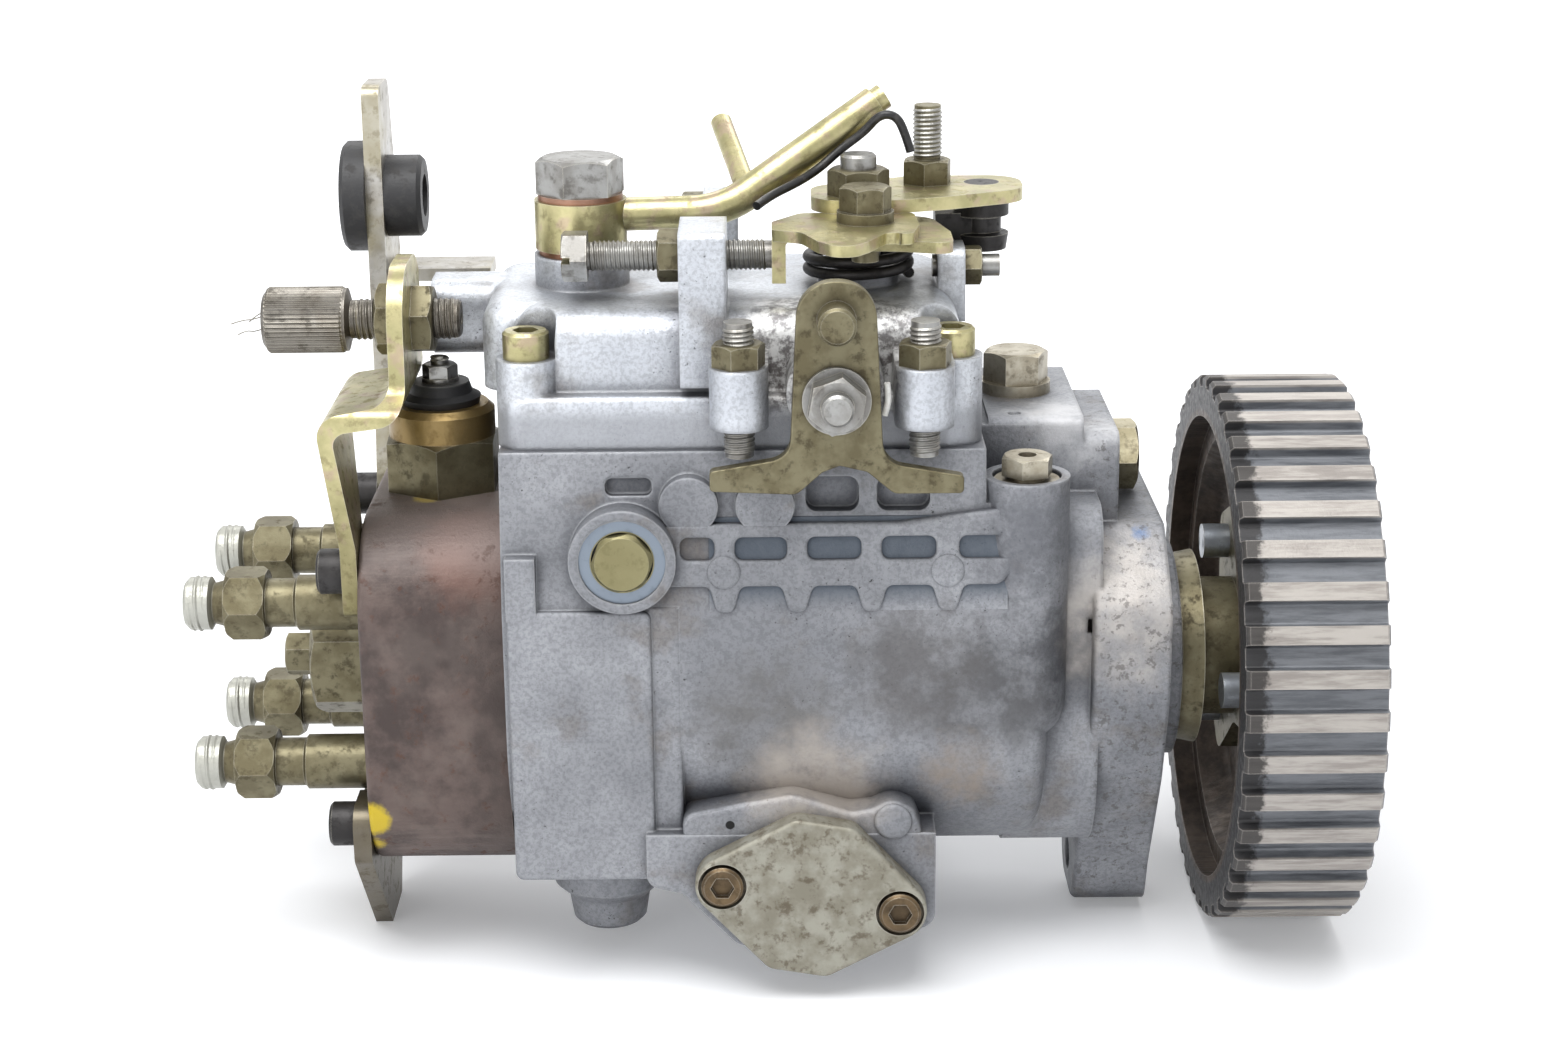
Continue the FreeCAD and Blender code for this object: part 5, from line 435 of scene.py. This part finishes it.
# Light, other and dark tone of each finish
YELLOW = (shade(190, 182, 138), shade(166, 160, 118), shade(88, 76, 50))
OLIVE = (shade(122, 116, 92), shade(100, 93, 70), shade(54, 46, 34))
BRONZE = (shade(112, 94, 70), shade(86, 72, 54), shade(42, 36, 30))
STEEL = (shade(160, 160, 158), shade(134, 132, 128), shade(70, 64, 58))
KNURL = (shade(118, 114, 108), shade(94, 88, 80), shade(44, 38, 32))
BLACK = (shade(58, 56, 56), shade(44, 42, 42), shade(26, 24, 24))
BRIGHT = (shade(188, 194, 200), shade(164, 170, 178), shade(96, 98, 102))
BEIGE = (shade(176, 168, 142), shade(150, 142, 116), shade(84, 74, 54))
PALE = (shade(186, 184, 180), shade(164, 160, 152), shade(84, 76, 64))
DIRTY = (shade(160, 158, 146), shade(132, 128, 114), shade(86, 72, 54))
WORN = (shade(186, 180, 164), shade(156, 148, 130), shade(86, 76, 60))
PINK_SHEEN = shade(176, 150, 140)

# Heights of the two copper washers, and the plug in the housing's side
WASHER_BANDS = ((0.0948, 0.0964), (0.1070, 0.1084))
SIDE_PLUG, SIDE_PLUG_RADIUS = (-0.1188, 0, 0.0374), 0.0069


def make_materials():
    steel = plain_plated("bare_steel", *STEEL, rough=0.36)
    yellow = plain_plated("yellow_zinc", *YELLOW, rough=0.3, stain=0.35, metal=0.8, tint=PINK_SHEEN)
    olive = plain_plated("olive_zinc", *OLIVE, rough=0.42, metal=0.7, stain=0.5)
    black = plain_plated("black_oxide", *BLACK, rough=0.45, metal=0.5)
    bright = plain_plated("bright_zinc", *BRIGHT, rough=0.34)
    rubber = rubber_material()
    copper = shade(150, 104, 78)
    spring = plain_plated("spring_steel", *STEEL, rough=0.3)

    paint, colour, rough = plated("overflow_bolt_steel", *STEEL, rough=0.34)
    washers = paint.sum("ADD", *(paint.band("Z", low, high, 0.0001) for low, high in WASHER_BANDS))
    colour = paint.over(colour, copper, washers, 0.8)
    bolt = paint.done(colour, rough)

    paint, colour, rough = plated("terminal_metal", *STEEL)
    skin = paint.band("Z", 0.060, 0.0655)
    colour = paint.over(colour, shade(34, 34, 36), skin)
    terminal = paint.done(colour, paint.mix(skin, rough, (0.6, 0.6, 0.6)), paint.ramp(skin, 0, 1, 0.85, 0))

    paint, colour, rough = plated("side_plug_zinc", *OLIVE, rough=0.4, metal=0.7)
    away = paint.off_axis(SIDE_PLUG, "Y")
    rim = SIDE_PLUG_RADIUS - 0.0001, SIDE_PLUG_RADIUS + 0.0001
    colour = paint.over(colour, shade(142, 136, 98), paint.ramp(away, *rim, 0.7, 0))
    colour = paint.over(colour, shade(128, 138, 150), paint.ramp(away, *rim))
    side = paint.done(colour, rough)

    paint, colour, rough = plated("front_plug_zinc", *BEIGE, rough=0.38)
    colour = paint.over(colour, shade(206, 186, 60), paint.ramp(paint.along("X"), -0.0086, -0.0082, 1, 0))
    front = paint.done(colour, rough)

    paint, colour, rough = plated("holder_zinc", *OLIVE, rough=0.4, metal=0.7)
    tip = paint.ramp(paint.along("X"), -0.2125, -0.2115, 1, 0)
    colour = paint.over(colour, shade(172, 172, 164), tip)
    holder = paint.done(colour, rough)

    paint, colour, rough = plated("solenoid_shell", *OLIVE, rough=0.36, metal=0.75)
    brass = paint.ramp(paint.along("Z"), 0.0530, 0.0534)
    colour = paint.over(colour, shade(142, 118, 72), brass, 0.8)
    solenoid = paint.done(colour, rough)

    paint, colour, rough = plated("support_zinc", *PALE, rough=0.36)
    warm = paint.ramp(paint.noise(0.02, 4, 0.6, shift=3), 0.4, 0.6)
    colour = paint.over(colour, shade(160, 150, 108), warm, 0.4)
    colour = paint.over(colour, shade(84, 76, 62), paint.ramp(paint.along("Z"), -0.010, 0.020, 0.85, 0))
    support = paint.done(colour, rough)

    paint, colour, rough = plated("cable_bracket_zinc", *YELLOW, rough=0.3, stain=0.35, metal=0.8,
                                  tint=PINK_SHEEN)
    colour = paint.over(colour, shade(92, 84, 56), paint.ramp(paint.along("Z"), 0.030, 0.062, 0.6, 0))
    cable = paint.done(colour, rough)

    paint, colour, rough = plated("ring_zinc", *BRIGHT)
    colour = paint.over(colour, YELLOW[1], paint.ramp(paint.along("X"), 0.0036, 0.0040))
    front_ring = paint.done(colour, rough)

    cover_plate = plain_plated("dirty_cover_plate", *DIRTY, rough=0.5, metal=0.4, stain=0.6)
    return {
        housing_material(): ["pump_housing"],
        cover_material(): ["governor_cover"],
        rust_material(): ["distributor_head"],
        pulley_material(): ["belt_pulley"],
        cover_plate: ["timing_covers"],
        bolt: ["overflow_bolt"],
        terminal: ["solenoid_terminal"],
        side: ["side_plug"],
        front: ["front_plug"],
        holder: ["delivery_valve_holders"],
        solenoid: ["stop_solenoid_case"],
        support: ["support_bracket"],
        rubber: ["support_grommet"],
        cable: ["cable_bracket"],
        yellow: ["overflow_pipe", "throttle_lever", "throttle_stop_plates", "cover_screws"],
        olive: ["stop_lever", "centre_plug", "pulley_hub", "cable_adjuster_nuts", "throttle_fasteners",
                "adjusting_nuts"],
        plain_plated("worn_fittings", *WORN, rough=0.36, stain=0.4): [
            "pressure_regulating_valve", "inlet_bolt"],
        plain_plated("bronze_screws", *BRONZE, rough=0.4, metal=0.75): ["timing_cover_screws"],
        plain_plated("knurled_grip", *KNURL, rough=0.42, metal=0.75, stain=0.5): ["cable_adjuster"],
        black: ["head_screws", "cable_nipple", "throttle_return_spring"],
        front_ring: ["drive_shaft_seal_and_bush"],
        bright: ["pulley_fasteners"],
        spring: ["inner_springs", "governor_spring"],
        steel: ["distributor_barrel", "delivery_valves", "solenoid_armature", "adjusting_screws",
                "stop_shaft", "throttle_shaft", "drive_shaft", "feed_pump_ring", "feed_pump_plate",
                "feed_pump_rotor", "governor_drive_gear", "cam_disc", "coupling_cross", "plunger",
                "spring_plate", "control_collar", "roller_ring", "ring_rollers", "timing_piston",
                "governor_pins", "governor_cage", "governor_flyweights", "governor_sleeve", "governor_lever"],
        wire_material(): ["signal_wire"],
    }


def dress_nodes(materials):
    """Give every node its material, and return the material of each by the node's name."""
    given = {}
    for material, names in materials.items():
        for name in names:
            given[name] = material
            thing = nodes[name]
            if not thing.material_slots:
                thing.data.materials.append(material)
            for place in thing.material_slots:
                place.material = material
    missing = sorted(set(nodes) - set(given))
    if missing:
        raise RuntimeError("no material for " + ", ".join(missing))
    return given


# Mesh pieces

def piece(name, points, faces, material, body, smooth=True):
    """A mesh that rides on a body and takes its finish from a slot."""
    mesh = bpy.data.meshes.new(name)
    mesh.from_pydata([tuple(p) for p in points], [], faces)
    mesh.validate()
    if smooth:
        mesh.shade_smooth()
    mesh.materials.append(material)
    thing = bpy.data.objects.new(name, mesh)
    bpy.context.scene.collection.objects.link(thing)
    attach(thing, body)
    return thing


def axes(direction):
    """Two unit vectors square to a direction, and the direction."""
    ahead = Vector(direction).normalized()
    side = ahead.orthogonal().normalized()
    return side, ahead.cross(side), ahead


# Section of a thread's ridge: how deep its foot sits in the rod in millimetres, and half its width at
# the foot and at the crest as shares of the pitch
FOOT_SINK, FOOT_HALF, CREST_HALF = 0.03, 0.44, 0.06


def thread(name, start, direction, radius, length, pitch, material, body, slot="steel", height=0.32):
    """A helical ridge round a plain rod, fading out at both ends."""
    side, other, ahead = axes(direction)
    around = 28
    count = int((length / pitch - 1) * around)
    start = Vector(start) * MM
    points, faces = [], []
    for i in range(count + 1):
        angle = 2 * math.pi * i / around
        fade = min(1, i / around * 2, (count - i) / around * 2)
        out = side * math.cos(angle) + other * math.sin(angle)
        centre = start + ahead * (pitch * (0.5 + i / around)) * MM
        foot, crest = -FOOT_SINK, height * fade
        for lift, shift in ((foot, -FOOT_HALF), (crest, -CREST_HALF), (crest, CREST_HALF), (foot, FOOT_HALF)):
            points.append(centre + out * (radius + lift) * MM + ahead * shift * pitch * MM)
        if i:
            base = 4 * (i - 1)
            faces += [(base + k, base + 4 + k, base + 4 + (k + 1) % 4, base + (k + 1) % 4) for k in range(4)]
    faces += [(0, 1, 2, 3), tuple(reversed(range(4 * count, 4 * count + 4)))]
    return piece(name, points, faces, material, body, smooth=False)


def straight_knurl(name, start, direction, radius, length, count, material, body, depth=0.35):
    """A closed sleeve of fine ribs along a grip, with a chamfer at both ends."""
    side, other, ahead = axes(direction)
    start = Vector(start) * MM
    chamfer, groove, sunk = 0.5, 0.02, -0.3
    rings = ((0, 0), (chamfer, 1), (length - chamfer, 1), (length, 0), (length, None), (0, None))
    points, faces = [], []
    for station, share in rings:
        for i in range(2 * count):
            angle = math.pi * i / count
            lift = sunk if share is None else (depth if i % 2 else groove) * share
            out = side * math.cos(angle) + other * math.sin(angle)
            points.append(start + ahead * station * MM + out * (radius + lift) * MM)
    around = 2 * count
    for ring in range(len(rings)):
        near, far = ring * around, (ring + 1) % len(rings) * around
        for i in range(around):
            after = (i + 1) % around
            faces.append((near + i, near + after, far + after, far + i))
    return piece(name, points, faces, material, body, smooth=False)


def rounded(corners, steps=5):
    """Outline points from (x, z, radius) corners, each turned into an arc."""
    outline = []
    for i, (x, z, radius) in enumerate(corners):
        here = Vector((x, z))
        back = (Vector(corners[i - 1][:2]) - here).normalized()
        ahead = (Vector(corners[(i + 1) % len(corners)][:2]) - here).normalized()
        half = back.angle(ahead) / 2
        centre = here + (back + ahead).normalized() * (radius / math.sin(half))
        first, last = (here + way * (radius / math.tan(half)) - centre for way in (back, ahead))
        start = math.atan2(first.y, first.x)
        turn = (math.atan2(last.y, last.x) - start + math.pi) % (2 * math.pi) - math.pi
        for k in range(steps + 1):
            angle = start + turn * k / steps
            outline.append((centre.x + radius * math.cos(angle), centre.y + radius * math.sin(angle)))
    return outline


def circle(x, z, radius, count=28):
    """Outline points of a circle."""
    turns = [2 * math.pi * i / count for i in range(count)]
    return [(x + radius * math.cos(turn), z + radius * math.sin(turn)) for turn in turns]


def turned_area(loop):
    """Area of a closed outline, negative where it runs clockwise."""
    return sum(a[0] * b[1] - b[0] * a[1] for a, b in zip(loop, loop[1:] + loop[:1])) / 2


def inside(point, loop):
    """Whether a point lies in an outline, by the sides that a line from it crosses."""
    crossings = 0
    for a, b in zip(loop, loop[1:] + loop[:1]):
        if (a[1] > point[1]) != (b[1] > point[1]):
            crossings += point[0] < a[0] + (point[1] - a[1]) * (b[0] - a[0]) / (b[1] - a[1])
    return crossings % 2 == 1


def plate(name, outline, holes, face, slope, half, rim, material, body):
    """A closed flat plate facing the camera's side, with rounded rims at its outline and holes.

    Its outer face passes through Y = face at Z = 0 and leans by slope in Y per unit of Z.
    """
    loops = [outline if turned_area(outline) > 0 else outline[::-1]]
    loops += [hole if turned_area(hole) < 0 else hole[::-1] for hole in holes]
    flat, edges, inward = [], [], []
    for loop in loops:
        base, count = len(flat), len(loop)
        edges += [(base + i, base + (i + 1) % count) for i in range(count)]
        flat += [Vector(spot) for spot in loop]
        for i in range(count):
            along = (Vector(loop[(i + 1) % count]) - Vector(loop[i - 1])).normalized()
            inward.append(Vector((-along.y, along.x)))
    triangles = []
    for triangle in delaunay_2d_cdt(flat, edges, [], 0, 1e-6)[2]:
        middle = sum((flat[i] for i in triangle), Vector((0, 0))) / 3
        if inside(middle, loops[0]) and not any(inside(middle, hole) for hole in loops[1:]):
            triangles.append(triangle if turned_area([flat[i] for i in triangle]) > 0 else triangle[::-1])
    bends = [math.radians(angle) for angle in (90, 60, 30, 0)]
    rings = [(rim * (1 - math.cos(bend)), rim * (1 - math.sin(bend))) for bend in bends] + [(0, 2 * half)]
    total, points = len(flat), []
    for inset, depth in rings:
        for spot, way in zip(flat, inward):
            x, z = spot + way * inset
            points.append(Vector((x, face + depth + slope * z, z)) * MM)
    faces = [tuple(triangle) for triangle in triangles]
    for ring in range(len(rings) - 1):
        near, far = ring * total, (ring + 1) * total
        faces += [(near + i, far + i, far + j, near + j) for i, j in edges]
    faces += [tuple(far + i for i in reversed(triangle)) for triangle in triangles]
    return piece(name, points, faces, material, body, smooth=False)


def prism(name, section, start, end, material, body, slot):
    """A (y, z) section drawn out along X between two places."""
    count = len(section)
    points = [Vector((x, y, z)) * MM for x in (start, end) for y, z in section]
    faces = [(i, (i + 1) % count, count + (i + 1) % count, count + i) for i in range(count)]
    faces += [tuple(reversed(range(count))), tuple(range(count, 2 * count))]
    return piece(name, points, faces, material, body, smooth=False)


# Stiffening ribs on the near side, in millimetres
RIB_CENTRES = (-49.2, -65.6, -81.5, -97.0)
RIB_POCKETS = ((-106.5, -99.2), (-94.8, -83.7), (-79.3, -67.8), (-63.4, -51.8), (-46.8, -36.0))
POCKET_LOW, POCKET_HIGH, POCKET_ROUND = 36.7, 41.6, 1.7
BAND_LOW, BAND_TOP, FINGER_LOW = 31.0, 44.6, 25.4
FINGER_ROOT, FINGER_TIP = 3.4, 1.8
BOSS_CENTRES = (-97.2, -49.3)
RIB_FACE, RIB_SLOPE = -50.65, 0.125
# Section (y, z) of the metal behind the pockets, and its two ends along the shaft
RIB_FLOOR = [(-42.0, 24.9), (-41.0, 45.6), (-43.22, 45.6), (-46.50, 27.4), (-46.58, 26.0), (-46.40, 24.9)]
RIB_FLOOR_ENDS = (-100.4, -36.4)


def make_ribs(given):
    """The rib band that stands proud of the barrel, with pockets in it and fingers that hang below."""
    cast = given["pump_housing"]
    low_edge = []
    for middle in RIB_CENTRES:
        low_edge += [(middle + FINGER_ROOT, BAND_LOW, 1.8), (middle + FINGER_TIP, FINGER_LOW, 1.6),
                     (middle - FINGER_TIP, FINGER_LOW, 1.6), (middle - FINGER_ROOT, BAND_LOW, 1.8)]
    outline = rounded([
        (-109.5, BAND_LOW, 0.9), (-109.5, BAND_TOP, 0.9), (-60, BAND_TOP, 20), (-33, BAND_TOP + 3.4, 2),
        (-30.6, BAND_TOP + 2, 1), (-33.4, POCKET_HIGH + 1, 3), (-34.2, POCKET_LOW - 1.4, 2),
        (-38, BAND_LOW, 3), *low_edge,
    ])
    holes = [rounded([(left, POCKET_LOW, POCKET_ROUND), (left, POCKET_HIGH, POCKET_ROUND),
                      (right, POCKET_HIGH, POCKET_ROUND), (right, POCKET_LOW, POCKET_ROUND)])
             for left, right in RIB_POCKETS]
    plate("rib_band", outline, holes, RIB_FACE, RIB_SLOPE, 1.7, 0.6, cast, "pump")
    prism("rib_floor", RIB_FLOOR, *RIB_FLOOR_ENDS, pocket_material(), "pump", "cast_aluminium")
    for i, x in enumerate(BOSS_CENTRES):
        plate("rib_boss_%d" % (i + 1), circle(x, 34.2, 3.6), [], RIB_FACE - 0.35, RIB_SLOPE, 1.0, 0.45, cast,
              "pump")


def make_timing_block(given):
    """Raised upper rim of the block round the timing piston, and the round pad beside its cover."""
    cast = given["pump_housing"]
    rim = rounded([
        (-107, -27, 1.2), (-107, -20.6, 3), (-93.6, -17.8, 8), (-82.7, -15.9, 8), (-70, -20.2, 4),
        (-65.4, -19.4, 2), (-61, -17.0, 4.5), (-56.4, -19.6, 3), (-54.2, -26, 3), (-52.2, -27.6, 1.2),
        (-52.2, -30, 1.1), (-70, -30, 1.1),
    ])
    plate("timing_block_rim", rim, [], -49.95, 0.0, 5.0, 1.0, cast, "pump")
    plate("timing_block_pad", circle(-61, -22.2, 4.1), [], -50.7, 0.0, 1.0, 0.5, cast, "pump")


def wire_curve(name, points, radius, material, body, order=3):
    """A round wire along a smooth line through control points in millimetres."""
    curve = bpy.data.curves.new(name, "CURVE")
    curve.dimensions = "3D"
    curve.bevel_depth = radius * MM
    curve.bevel_resolution = 5
    curve.use_fill_caps = True
    spline = curve.splines.new("NURBS")
    spline.points.add(len(points) - 1)
    for place, point in zip(spline.points, points):
        place.co = (*(Vector(point) * MM), 1)
    spline.order_u = order
    spline.use_endpoint_u = True
    spline.resolution_u = 12
    curve.materials.append(material)
    thing = bpy.data.objects.new(name, curve)
    bpy.context.scene.collection.objects.link(thing)
    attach(thing, body)
    return thing


# The same route as in the part's source, in millimetres
WIRE_RADIUS = 1.0
WIRE_ROUTE = [
    (-89.5, -14.0, 107.2), (-86.8, -9.0, 108.4), (-80.4, -4.5, 110.6),
    (-75.6, 0.0, 112.8), (-70.7, 1.4, 117.0), (-65.6, 1.5, 120.6),
    (-62.2, 0.0, 124.8), (-58.4, 0.0, 124.4), (-56.4, 0.0, 119.8),
    (-55.4, 0.0, 116.4),
]


def spline_length(thing):
    """Length of a curve's own line, measured on a copy without thickness."""
    copy = thing.data.copy()
    copy.bevel_depth = 0
    line = bpy.data.objects.new("measured_line", copy)
    mesh = bpy.data.meshes.new_from_object(line)
    points = [v.co.copy() for v in mesh.vertices]
    for data, item in ((bpy.data.meshes, mesh), (bpy.data.objects, line), (bpy.data.curves, copy)):
        data.remove(item)
    return sum((b - a).length for a, b in zip(points, points[1:]))


def make_wire(given):
    wire = wire_curve("signal_wire_smooth", WIRE_ROUTE, WIRE_RADIUS, given["signal_wire"], "pump")
    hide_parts("signal_wire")
    spline_length(wire)


def make_return_spring(given):
    """Black coil of two turns under the throttle lever."""
    centre, radius, wire, pitch, around = Vector((-67, -2, 89.6)), 11.3, 1.25, 2.7, 24
    points = []
    for i in range(2 * around + 1):
        angle = 2 * math.pi * i / around
        rise = pitch * i / around
        points.append(centre + Vector((radius * math.cos(angle), radius * math.sin(angle), rise)))
    coil = wire_curve("throttle_spring_coil", points, wire, given["throttle_return_spring"], "pump",
                      4)
    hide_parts("throttle_return_spring")


# Stray steel strands at the end of the cable adjuster, in millimetres
STRANDS = [
    [(-198.2, -9, 83.0), (-201.0, -9.5, 82.0), (-203.2, -10.5, 82.2), (-205.8, -11, 81.4)],
    [(-198.2, -10, 80.4), (-200.6, -10.5, 79.4), (-202.6, -11, 80.0), (-204.4, -11.5, 79.0)],
    [(-198.2, -11, 84.2), (-200.2, -11.5, 83.4), (-201.6, -12, 82.0)],
]


def make_small_things(given):
    """Stray steel strands out of the cable adjuster and a white clip beside the stop lever's shaft."""
    for i, points in enumerate(STRANDS):
        wire_curve("cable_strand_%d" % i, points, 0.14, given["cable_adjuster"], "pump")
    paint = Paint("white_plastic", rough=0.4)
    grey = paint.ramp(paint.noise(0.002, 3), 0.4, 0.7)
    white = paint.done(paint.mix(grey, shade(236, 236, 232), shade(206, 204, 198)))
    middle_x, middle_z, reach = -73.2, 74, 10.9
    points = [(middle_x + reach * math.cos(a), -50.4, middle_z + reach * math.sin(a))
              for a in (0.25, 0.0, -0.2, -0.4)]
    wire_curve("white_clip", points, 0.7, white, "pump")


# Name, start, direction, rod radius, length, pitch, and the node whose material the thread takes
THREADS = [
    ("speed_screw_thread", (-126, -21, 98), (1, 0, 0), 3.0, 39.2, 1.0, "adjusting_screws"),
    ("stop_screw_thread_left", (-93.5, -48, 60.8), (0, 0, 1), 3.0, 28.4, 1.0, "adjusting_screws"),
    ("stop_screw_thread_right", (-54.6, -48, 60.8), (0, 0, 1), 3.0, 28.4, 1.0, "adjusting_screws"),
    ("cable_adjuster_thread", (-179, -10, 82), (1, 0, 0), 4.25, 23.5, 1.25, "cable_adjuster"),
]
# The outlet holders' distance from the shaft's line, sideways and upwards
HOLDER_OFFSET = 19.2


def make_threads(given):
    """Threads on the screws, the holders' tips and the adjuster, and the knurl on its grip."""
    steel = given["adjusting_screws"]
    for *facts, node in THREADS:
        thread(*facts, given[node], "pump")
    straight_knurl("cable_adjuster_knurl", (-197.6, -10, 82), (1, 0, 0), 7.0, 17.0, 44,
                   given["cable_adjuster"], "pump")
    thread("throttle_stud_thread", (-51, 12, 112.8), (0, 0, 1), 3.0, 12.0, 1.0, steel, "throttle")
    thread("terminal_thread", (-161.5, 0, 69.5), (0, 0, 1), 2.0, 1.9, 0.7, steel, "pump", height=0.2)
    corners = [(y, z) for y in (-HOLDER_OFFSET, HOLDER_OFFSET) for z in (-HOLDER_OFFSET, HOLDER_OFFSET)]
    for i, (y, z) in enumerate(corners):
        thread("holder_thread_%d" % i, (-212.9, y, z), (-1, 0, 0), 5.95, 5.0, 1.5,
               given["delivery_valve_holders"], "pump", "bright_zinc", 0.35)


# Studio

def lamp(name, place, size, power):
    """A soft lamp that faces the object's middle."""
    data = bpy.data.lights.new(name, "AREA")
    data.shape = "RECTANGLE"
    data.size, data.size_y = size
    data.energy = power
    thing = bpy.data.objects.new(name, data)
    bpy.context.scene.collection.objects.link(thing)
    thing.location = place
    thing.rotation_mode = "QUATERNION"
    thing.rotation_quaternion = (Vector(LAMP_TARGET) - Vector(place)).to_track_quat("-Z", "Y")


def seen_share(tree):
    """1 for rays that show the backdrop to the camera or in gloss, 0 for the rest."""
    path = tree.nodes.new("ShaderNodeLightPath")
    total = path.outputs["Is Camera Ray"]
    for name in ("Is Glossy Ray", "Is Transmission Ray"):
        node = tree.nodes.new("ShaderNodeMath")
        node.operation = "MAXIMUM"
        tree.links.new(total, node.inputs[0])
        tree.links.new(path.outputs[name], node.inputs[1])
        total = node.outputs[0]
    return total


# Half the floor's width, and its glow: between which distances it grows, and from what to what
FLOOR_REACH = 7.0
FLOOR_GLOW = (0.25, 1.4, 0.22, 0.95)
WORLD_LIGHT, WORLD_SEEN = 0.42, 1.0
LAMPS = [
    ("key", (-0.30, -0.45, 1.20), (1.1, 0.8), 17),
    ("front", (-0.75, -0.95, 0.35), (0.6, 0.6), 2.5),
    ("rear", (0.1, 0.9, 0.9), (1.2, 0.5), 6),
]
LAMP_TARGET = (-0.08, 0, 0.03)


def make_studio():
    """A pale floor that turns white with distance, a white world and three soft lamps."""
    floor_height = cad_box[0].z
    mesh = bpy.data.meshes.new("floor")
    corners = [(FLOOR_REACH * x, FLOOR_REACH * y, floor_height)
               for x, y in ((-1, -1), (1, -1), (1, 1), (-1, 1))]
    mesh.from_pydata(corners, [], [(0, 1, 2, 3)])
    material = bpy.data.materials.new("floor")
    material.use_nodes = True
    tree = material.node_tree
    shader = tree.nodes["Principled BSDF"]
    shader.inputs["Base Color"].default_value = (0.86, 0.87, 0.89, 1)
    shader.inputs["Roughness"].default_value = 0.7
    lift = tree.nodes.new("ShaderNodeMath")
    lift.operation = "MULTIPLY"
    place = tree.nodes.new("ShaderNodeTexCoord")
    away = tree.nodes.new("ShaderNodeVectorMath")
    away.operation = "LENGTH"
    tree.links.new(place.outputs["Object"], away.inputs[0])
    glow = tree.nodes.new("ShaderNodeMapRange")
    tree.links.new(away.outputs["Value"], glow.inputs["Value"])
    for socket, amount in zip(glow.inputs[1:5], FLOOR_GLOW):
        socket.default_value = amount
    tree.links.new(seen_share(tree), lift.inputs[0])
    tree.links.new(glow.outputs[0], lift.inputs[1])
    tree.links.new(lift.outputs[0], shader.inputs["Emission Strength"])
    shader.inputs["Emission Color"].default_value = (0.97, 0.98, 1, 1)
    mesh.materials.append(material)
    floor = bpy.data.objects.new("floor", mesh)
    bpy.context.scene.collection.objects.link(floor)

    world = bpy.data.worlds.new("studio")
    bpy.context.scene.world = world
    world.use_nodes = True
    tree = world.node_tree
    background = tree.nodes["Background"]
    background.inputs["Color"].default_value = (1, 1, 1, 1)
    strength = tree.nodes.new("ShaderNodeMapRange")
    tree.links.new(seen_share(tree), strength.inputs["Value"])
    strength.inputs["To Min"].default_value = WORLD_LIGHT
    strength.inputs["To Max"].default_value = WORLD_SEEN
    tree.links.new(strength.outputs[0], background.inputs["Strength"])

    for facts in LAMPS:
        lamp(*facts)


make_camera()
given = dress_nodes(make_materials())
make_wire(given)
make_return_spring(given)
make_threads(given)
make_small_things(given)
make_ribs(given)
make_timing_block(given)
make_studio()

bpy.context.scene.view_settings.view_transform = "Standard"
